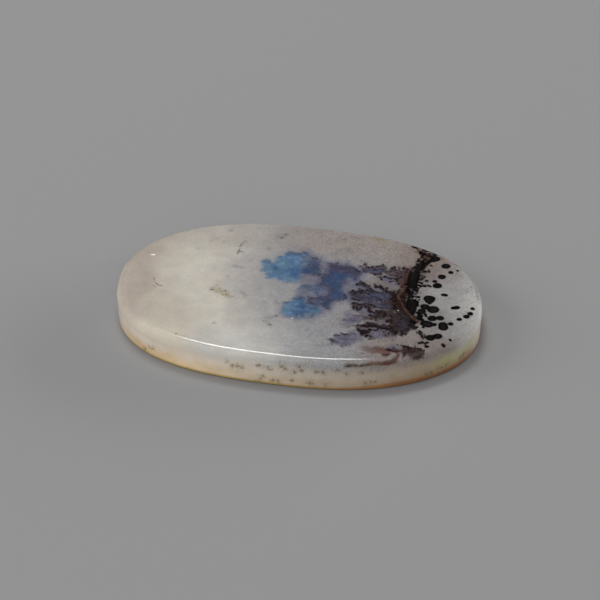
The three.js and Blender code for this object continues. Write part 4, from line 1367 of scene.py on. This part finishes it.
def plumes(agate, colour):
    """The blue and indigo plumes, billowing."""
    x, colours = agate.x, agate.colours
    blue = agate.mottled(tuple(colours.blue), srgb(102, 130, 158), 1.8)
    blue = agate.glowing(blue, "deep_glow", 0.85, srgb(66, 94, 132))
    blue = agate.glowing(blue, "pale_glow", 0.7, tuple(colours.pale_blue))
    indigo = agate.mottled(tuple(colours.indigo), srgb(80, 80, 98), 1.8)
    indigo = agate.glowing(indigo, "plum_glow", 0.55, srgb(74, 66, 78))
    indigo = agate.glowing(indigo, "blue_glow", 0.85, srgb(60, 81, 114))
    plume = agate.mix(agate.edge("indigo", 0.25, 1.6, 0.9), blue, indigo)
    plume = agate.glowing(plume, "slate_glow", 0.7, srgb(70, 84, 108))
    plume = agate.glowing(plume, "mist_glow", 0.8, srgb(99, 106, 126))
    billows = agate.scaled(agate.position, 1.5, 0.9)
    plume = agate.shaded(agate.shaded(plume, billows, 0.86, 1.08, 0, 1), agate.fine, 0.84, 1.14)
    rims = agate.math("MAXIMUM", agate.product(agate.floret_rims, 0.5), agate.crest)
    plume = agate.lay(plume, srgb(60, 58, 76), rims, agate.smooth(x, -2.0, 2.0, 0.15, 0.4))
    softness = agate.smooth(x, -3.0, 1.5, 0.52, 0.72)
    billowed = agate.product(agate.swell, agate.smooth(x, -3.0, 2.0, 0.2, 0.6))
    mask = agate.edge("plume", 0.32, 3.6, softness, 0.1, push=billowed)
    return agate.lay(colour, plume, mask, agate.cleared)


def dendrite_hearts(agate):
    """The dendrites' insides: slate and plum florets, black-brown towards the band, and their veins."""
    x, y, colours = agate.x, agate.y, agate.colours
    stops = [(0.0, tuple(colours.dendrite_heart)), *zones(HEART_ZONES)]
    heart = agate.ramp(agate.span(x, 5.0, 13.0), stops)
    heart = agate.mix(agate.smooth(y, 2.5, 4.0, 0.0, 0.6), heart, srgb(94, 78, 82))
    brown_rows = agate.region(("y", -2.4, -1.4, 1.0, 0.0), ("x", 10.0, 11.5, 0.75, 0.15))
    heart = agate.mix(brown_rows, heart, srgb(62, 48, 47))
    heart = agate.mix(agate.smooth(y, -7.6, -7.0, 1.0, 0.0), heart, srgb(74, 56, 54))
    blue_light = agate.mix(agate.smooth(x, 9.0, 11.5), srgb(68, 76, 100), srgb(54, 55, 66))
    heart = agate.glowing(heart, "blue_glow", 0.8, blue_light)
    shade = agate.mix(agate.smooth(y, -2.2, -1.0), srgb(47, 34, 34), srgb(47, 44, 55))
    heart = agate.glowing(heart, "shade_glow", 0.8, shade)
    heart = agate.shaded(agate.leafy(heart, tuple(colours.dendrite), 0.6, 0.25), agate.strands, 0.74, 1.2)
    off_vein = agate.math("ABSOLUTE", agate.centred(agate.strands))
    veins = agate.smooth(off_vein, 0.0, 0.03, 0.55, 0.0)
    vein = agate.mix(agate.smooth(y, -2.4, -1.2), srgb(92, 80, 78), srgb(96, 98, 114))
    return agate.lay(heart, vein, veins, agate.smooth(x, 10.0, 11.5, 1.0, 0.3))


def dendrites(agate, colour):
    """The dendrites, dark along their upper rims, and the near-black strands through them."""
    x, y, rim_colour = agate.x, agate.y, tuple(agate.colours.dendrite)
    shape = {"lobes": 0.3, "position": agate.spiky, "wider": 0.05, "push": agate.swell}
    inside = agate.edge("dendrite", 0.15, 3.6, 0.12, output=1, **shape)
    rims = agate.smooth(inside, 0.0, 0.5, 0.9, 0.4)
    dendrite = agate.lay(dendrite_hearts(agate), rim_colour, agate.crest, rims)
    softness = agate.smooth(agate.crest, 0.0, 1.0, 0.4, 0.16)
    mask = agate.edge("dendrite", 0.15, 3.6, softness, **shape)
    strength = agate.math("MAXIMUM", agate.smooth(x, 6.6, 7.6, 0.3, 1.0), agate.smooth(y, -4.4, -3.8))
    colour = agate.lay(colour, dendrite, mask, agate.cleared, strength)
    strands = agate.edge("dark_strands", 0.2, 3.6, 0.26, 0.3, agate.spiky, wider=0.02)
    return agate.lay(colour, srgb(28, 21, 23), strands, agate.smooth(x, 4.0, 5.6, 0.3, 0.85), agate.cleared)


def umber_filling(agate, colour):
    """The black-brown filling between the thicket and the band."""
    umber = agate.mottled(srgb(56, 38, 34), srgb(24, 18, 18), 2.0, 4.0)
    umber = agate.leafy(umber, srgb(14, 10, 10), 0.8, 0.5)
    return agate.mix(agate.edge("umber", 0.25, 2.6, 0.5, 0.3, push=agate.swell), colour, umber)


def rust_seam(agate, colour):
    """The iron seam, broken here and there, in its dark halo."""
    colour = agate.lay(colour, srgb(62, 38, 29), agate.edge("rust_seam", 0.2, 2.4, 0.45, wider=0.12), 0.5)
    broken = agate.smooth(agate.noise(agate.position, 2.2, detail=3.0), 0.36, 0.58, 0.12, 0.85)
    rust = agate.mottled(tuple(agate.colours.rust), srgb(88, 62, 52), 1.5)
    return agate.lay(colour, rust, agate.edge("rust_seam", 0.13, 2.6, 0.12, wider=-0.01), broken)


def manganese(agate, colour):
    """The black band, ragged and thin in places at the back, and the smooth dense dots."""
    x = agate.x
    worn = agate.noise(agate.position, 1.9, detail=4.0, roughness=0.65)
    worn = agate.smooth(worn, 0.47, 0.6, 0.0, 0.75)
    thin = agate.product(worn, agate.smooth(agate.y, 3.5, 6.0), agate.smooth(x, 12.3, 12.7, 1.0, 0.0))
    dense = agate.product(agate.cleared, agate.math("SUBTRACT", 1.0, thin))
    ragged = agate.smooth(x, 12.2, 12.8, 0.15, 0.045)
    inside = agate.smooth(agate.attribute("manganese"), 0.16, 0.36, 0.0, 0.9)
    greyer = agate.mottled(srgb(15, 13, 13), srgb(33, 33, 34), 1.6)
    black = agate.lay(tuple(agate.colours.manganese), greyer, inside, agate.smooth(x, 12.2, 12.8, 0.6, 1.0))
    return agate.lay(colour, black, agate.edge("manganese", ragged, 3.6, 0.14), dense)


def iron_branch(agate, colour):
    """The iron branch over the front shoulder, in its faint stain."""
    iron = agate.ramp(agate.span(agate.x, 6.5, 12.5), zones(IRON_ZONES))
    iron = agate.shaded(iron, agate.fine, 0.8, 1.15)
    stain = agate.edge("rust_branch", 0.25, 2.2, 0.4, wider=0.02)
    colour = agate.lay(colour, srgb(122, 92, 64), stain, 0.35)
    return agate.lay(colour, iron, agate.edge("rust_branch", 0.09, 3.0, 0.26, wider=-0.02), 0.85)


def glints(agate, colour):
    """Painted highlights: white spots painted where tiny pits would catch the light."""
    return agate.mix(agate.edge("glint", 0.0, 1.0, 0.08), colour, tuple(agate.colours.glint))


# The marks' layers, from the deepest to the nearest
LAYERS = (
    small_marks, haze, violet_lobes, plum_branch, plumes, dendrites, umber_filling, rust_seam, manganese,
    iron_branch, glints,
)


def build_agate(colours):
    """Polished agate: the body's zones, the layers of marks, and a soft polish over them."""
    material = bpy.data.materials.new("polished_agate")
    material.use_nodes = True
    tree = material.node_tree
    tree.nodes.clear()
    agate = AgateWiring(tree, colours)
    bare = grain(agate, *agate_body(agate))
    colour = bare
    for layer in LAYERS:
        colour = layer(agate, colour)
    # the marks show through the underside only faintly
    underside = agate.smooth(agate.z, 0.0, BASE_SKIN, 0.7, 0.0)
    colour = agate.mix(underside, colour, bare)

    # a polish that is a little uneven
    position = agate.position
    pits = agate.noise(position, 6.0, detail=1.0)
    relief = agate.math("MULTIPLY_ADD", pits, 0.02, agate.noise(position, 0.35, detail=2.0))
    bump = agate.node("ShaderNodeBump", {"Strength": 0.15, "Distance": 0.02 * MM, "Height": relief})
    roughness = agate.smooth(agate.noise(position, 1.1, detail=3.0), 0.3, 0.7, 0.04, 0.07)
    shader = agate.node("ShaderNodeBsdfPrincipled", {
        "Base Color": colour, "Roughness": roughness, "Normal": bump, "IOR": 1.54,
        "Subsurface Weight": 0.25, "Subsurface Radius": (1.0, 0.75, 0.5), "Subsurface Scale": 0.6 * MM,
    })
    output = tree.nodes.new("ShaderNodeOutputMaterial")
    tree.links.new(shader, output.inputs["Surface"])
    return material


class CABOCHON_OT_stone(bpy.types.Operator):
    """Make the agate's fine surface in the place of its solid"""

    bl_idname = "cabochon.stone"
    bl_label = "Agate Stone"

    def execute(self, context):
        sizes = context.scene.stone_sizes
        points, faces = stone_surface(sizes)
        mesh = bpy.data.meshes.new("agate_stone")
        mesh.from_pydata(points.tolist(), [], faces)
        mesh.update()
        mark_stone(mesh, points, sizes)
        mesh.shade_smooth()
        stone = bpy.data.objects.new("agate_stone", mesh)
        context.scene.collection.objects.link(stone)
        mesh.materials.append(build_agate(context.scene.stone_colours))
        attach(stone, "root")
        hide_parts("cabochon")
        return {"FINISHED"}


def build_floor(colour):
    """A wide plain floor just under the stone."""
    reach = 2.0
    corners = [(-reach, -reach, 0), (reach, -reach, 0), (reach, reach, 0), (-reach, reach, 0)]
    mesh = bpy.data.meshes.new("floor")
    mesh.from_pydata(corners, [], [(0, 1, 2, 3)])
    material = bpy.data.materials.new("plain_floor")
    material.use_nodes = True
    shader = material.node_tree.nodes["Principled BSDF"]
    shader.inputs["Base Color"].default_value = (*colour, 1)
    shader.inputs["Roughness"].default_value = 0.9
    shader.inputs["Specular IOR Level"].default_value = 0.1
    mesh.materials.append(material)
    floor = bpy.data.objects.new("floor", mesh)
    bpy.context.scene.collection.objects.link(floor)


# Softboxes: name, the direction they stand in as (right, back, up), distance, width, height, watts
SOFTBOXES = (
    ("key", (-0.2, 0.36, 1.0), 0.6, 0.22, 0.13, 1.04),
    ("overhead", (0.0, -0.15, 1.0), 1.3, 1.6, 1.6, 3.6),
    ("left_rim", (-0.34, 0.71, 0.57), 0.7, 0.14, 0.2, 0.04),
)
# Fill lights, given alike, which light the stone but aren't mirrored in its polish
FILLS = (
    ("front", (-0.05, -1.0, 0.42), 1.2, 2.4, 1.5, 13.0),
    ("left", (-1.0, -0.1, 0.4), 1.2, 1.2, 0.9, 10.5),
    ("right", (1.0, 0.8, 0.2), 1.2, 1.4, 0.35, 17.0),
)
WORLD_STRENGTH = 0.03


def add_softbox(name, direction, distance, width, height, watts):
    """A soft rectangular light that faces the stone."""
    light = bpy.data.lights.new(name, "AREA")
    light.shape = "RECTANGLE"
    light.size, light.size_y = width, height
    light.energy = watts
    softbox = bpy.data.objects.new(name, light)
    towards = Vector(direction).normalized()
    softbox.location = towards * distance
    softbox.rotation_euler = towards.to_track_quat("Z", "Y").to_euler()
    bpy.context.scene.collection.objects.link(softbox)
    return softbox


# The camera aims at a place in the view plane a little to the right of the stone's middle and above
# it, in millimetres
SENSOR_WIDTH = 36
MIDDLE_HEIGHT = 1.75
AIM_RIGHT = 0.0785
AIM_UP = 0.351


def add_camera(settings):
    """The photograph's camera."""
    azimuth, elevation = settings.azimuth, settings.elevation
    back = Vector((
        math.sin(azimuth) * math.cos(elevation),
        -math.cos(azimuth) * math.cos(elevation),
        math.sin(elevation),
    ))
    right = Vector((math.cos(azimuth), math.sin(azimuth), 0))
    up = back.cross(right)
    middle = Vector((0, 0, MIDDLE_HEIGHT * MM))
    data = bpy.data.cameras.new("camera")
    data.sensor_width = SENSOR_WIDTH
    data.lens = settings.lens
    data.clip_start, data.clip_end = 0.01, 10
    camera = bpy.data.objects.new("camera", data)
    camera.location = middle + right * AIM_RIGHT * MM + up * AIM_UP * MM + back * settings.distance
    camera.rotation_euler = back.to_track_quat("Z", "Y").to_euler()
    bpy.context.scene.collection.objects.link(camera)
    bpy.context.scene.camera = camera


class CABOCHON_OT_stage(bpy.types.Operator):
    """Make the plain floor, the soft lights and the camera"""

    bl_idname = "cabochon.stage"
    bl_label = "Stage"

    def execute(self, context):
        settings = context.scene.stage_settings
        build_floor(tuple(settings.floor))
        for softbox in SOFTBOXES:
            add_softbox(*softbox)
        for fill in FILLS:
            add_softbox(*fill).visible_glossy = False
        world = bpy.data.worlds.new("studio")
        world.use_nodes = True
        background = world.node_tree.nodes["Background"]
        background.inputs["Color"].default_value = (1, 1, 1, 1)
        background.inputs["Strength"].default_value = WORLD_STRENGTH
        context.scene.world = world
        context.scene.view_settings.view_transform = "Standard"
        add_camera(settings)
        return {"FINISHED"}


class CABOCHON_PT_panel(bpy.types.Panel):
    """Lists the makers with their sizes and colours"""

    bl_label = "Agate Cabochon"
    bl_space_type = "VIEW_3D"
    bl_region_type = "UI"
    bl_category = "Cabochon"

    def draw(self, context):
        scene = context.scene
        for operator, settings in (
            (CABOCHON_OT_stone, (scene.stone_sizes, scene.stone_colours)),
            (CABOCHON_OT_stage, (scene.stage_settings,)),
        ):
            box = self.layout.box()
            box.operator(operator.bl_idname)
            for group in settings:
                for name in group.__annotations__:
                    box.prop(group, name)


CLASSES = (
    StoneSizes, StoneColours, StageSettings, CABOCHON_OT_stone, CABOCHON_OT_stage, CABOCHON_PT_panel,
)


def register():
    for cls in CLASSES:
        bpy.utils.register_class(cls)
    bpy.types.Scene.stone_sizes = PointerProperty(type=StoneSizes)
    bpy.types.Scene.stone_colours = PointerProperty(type=StoneColours)
    bpy.types.Scene.stage_settings = PointerProperty(type=StageSettings)


def unregister():
    del bpy.types.Scene.stage_settings
    del bpy.types.Scene.stone_colours
    del bpy.types.Scene.stone_sizes
    for cls in reversed(CLASSES):
        bpy.utils.unregister_class(cls)


def main():
    register()
    bpy.ops.cabochon.stage()
    bpy.ops.cabochon.stone()


if __name__ == "__main__":
    main()
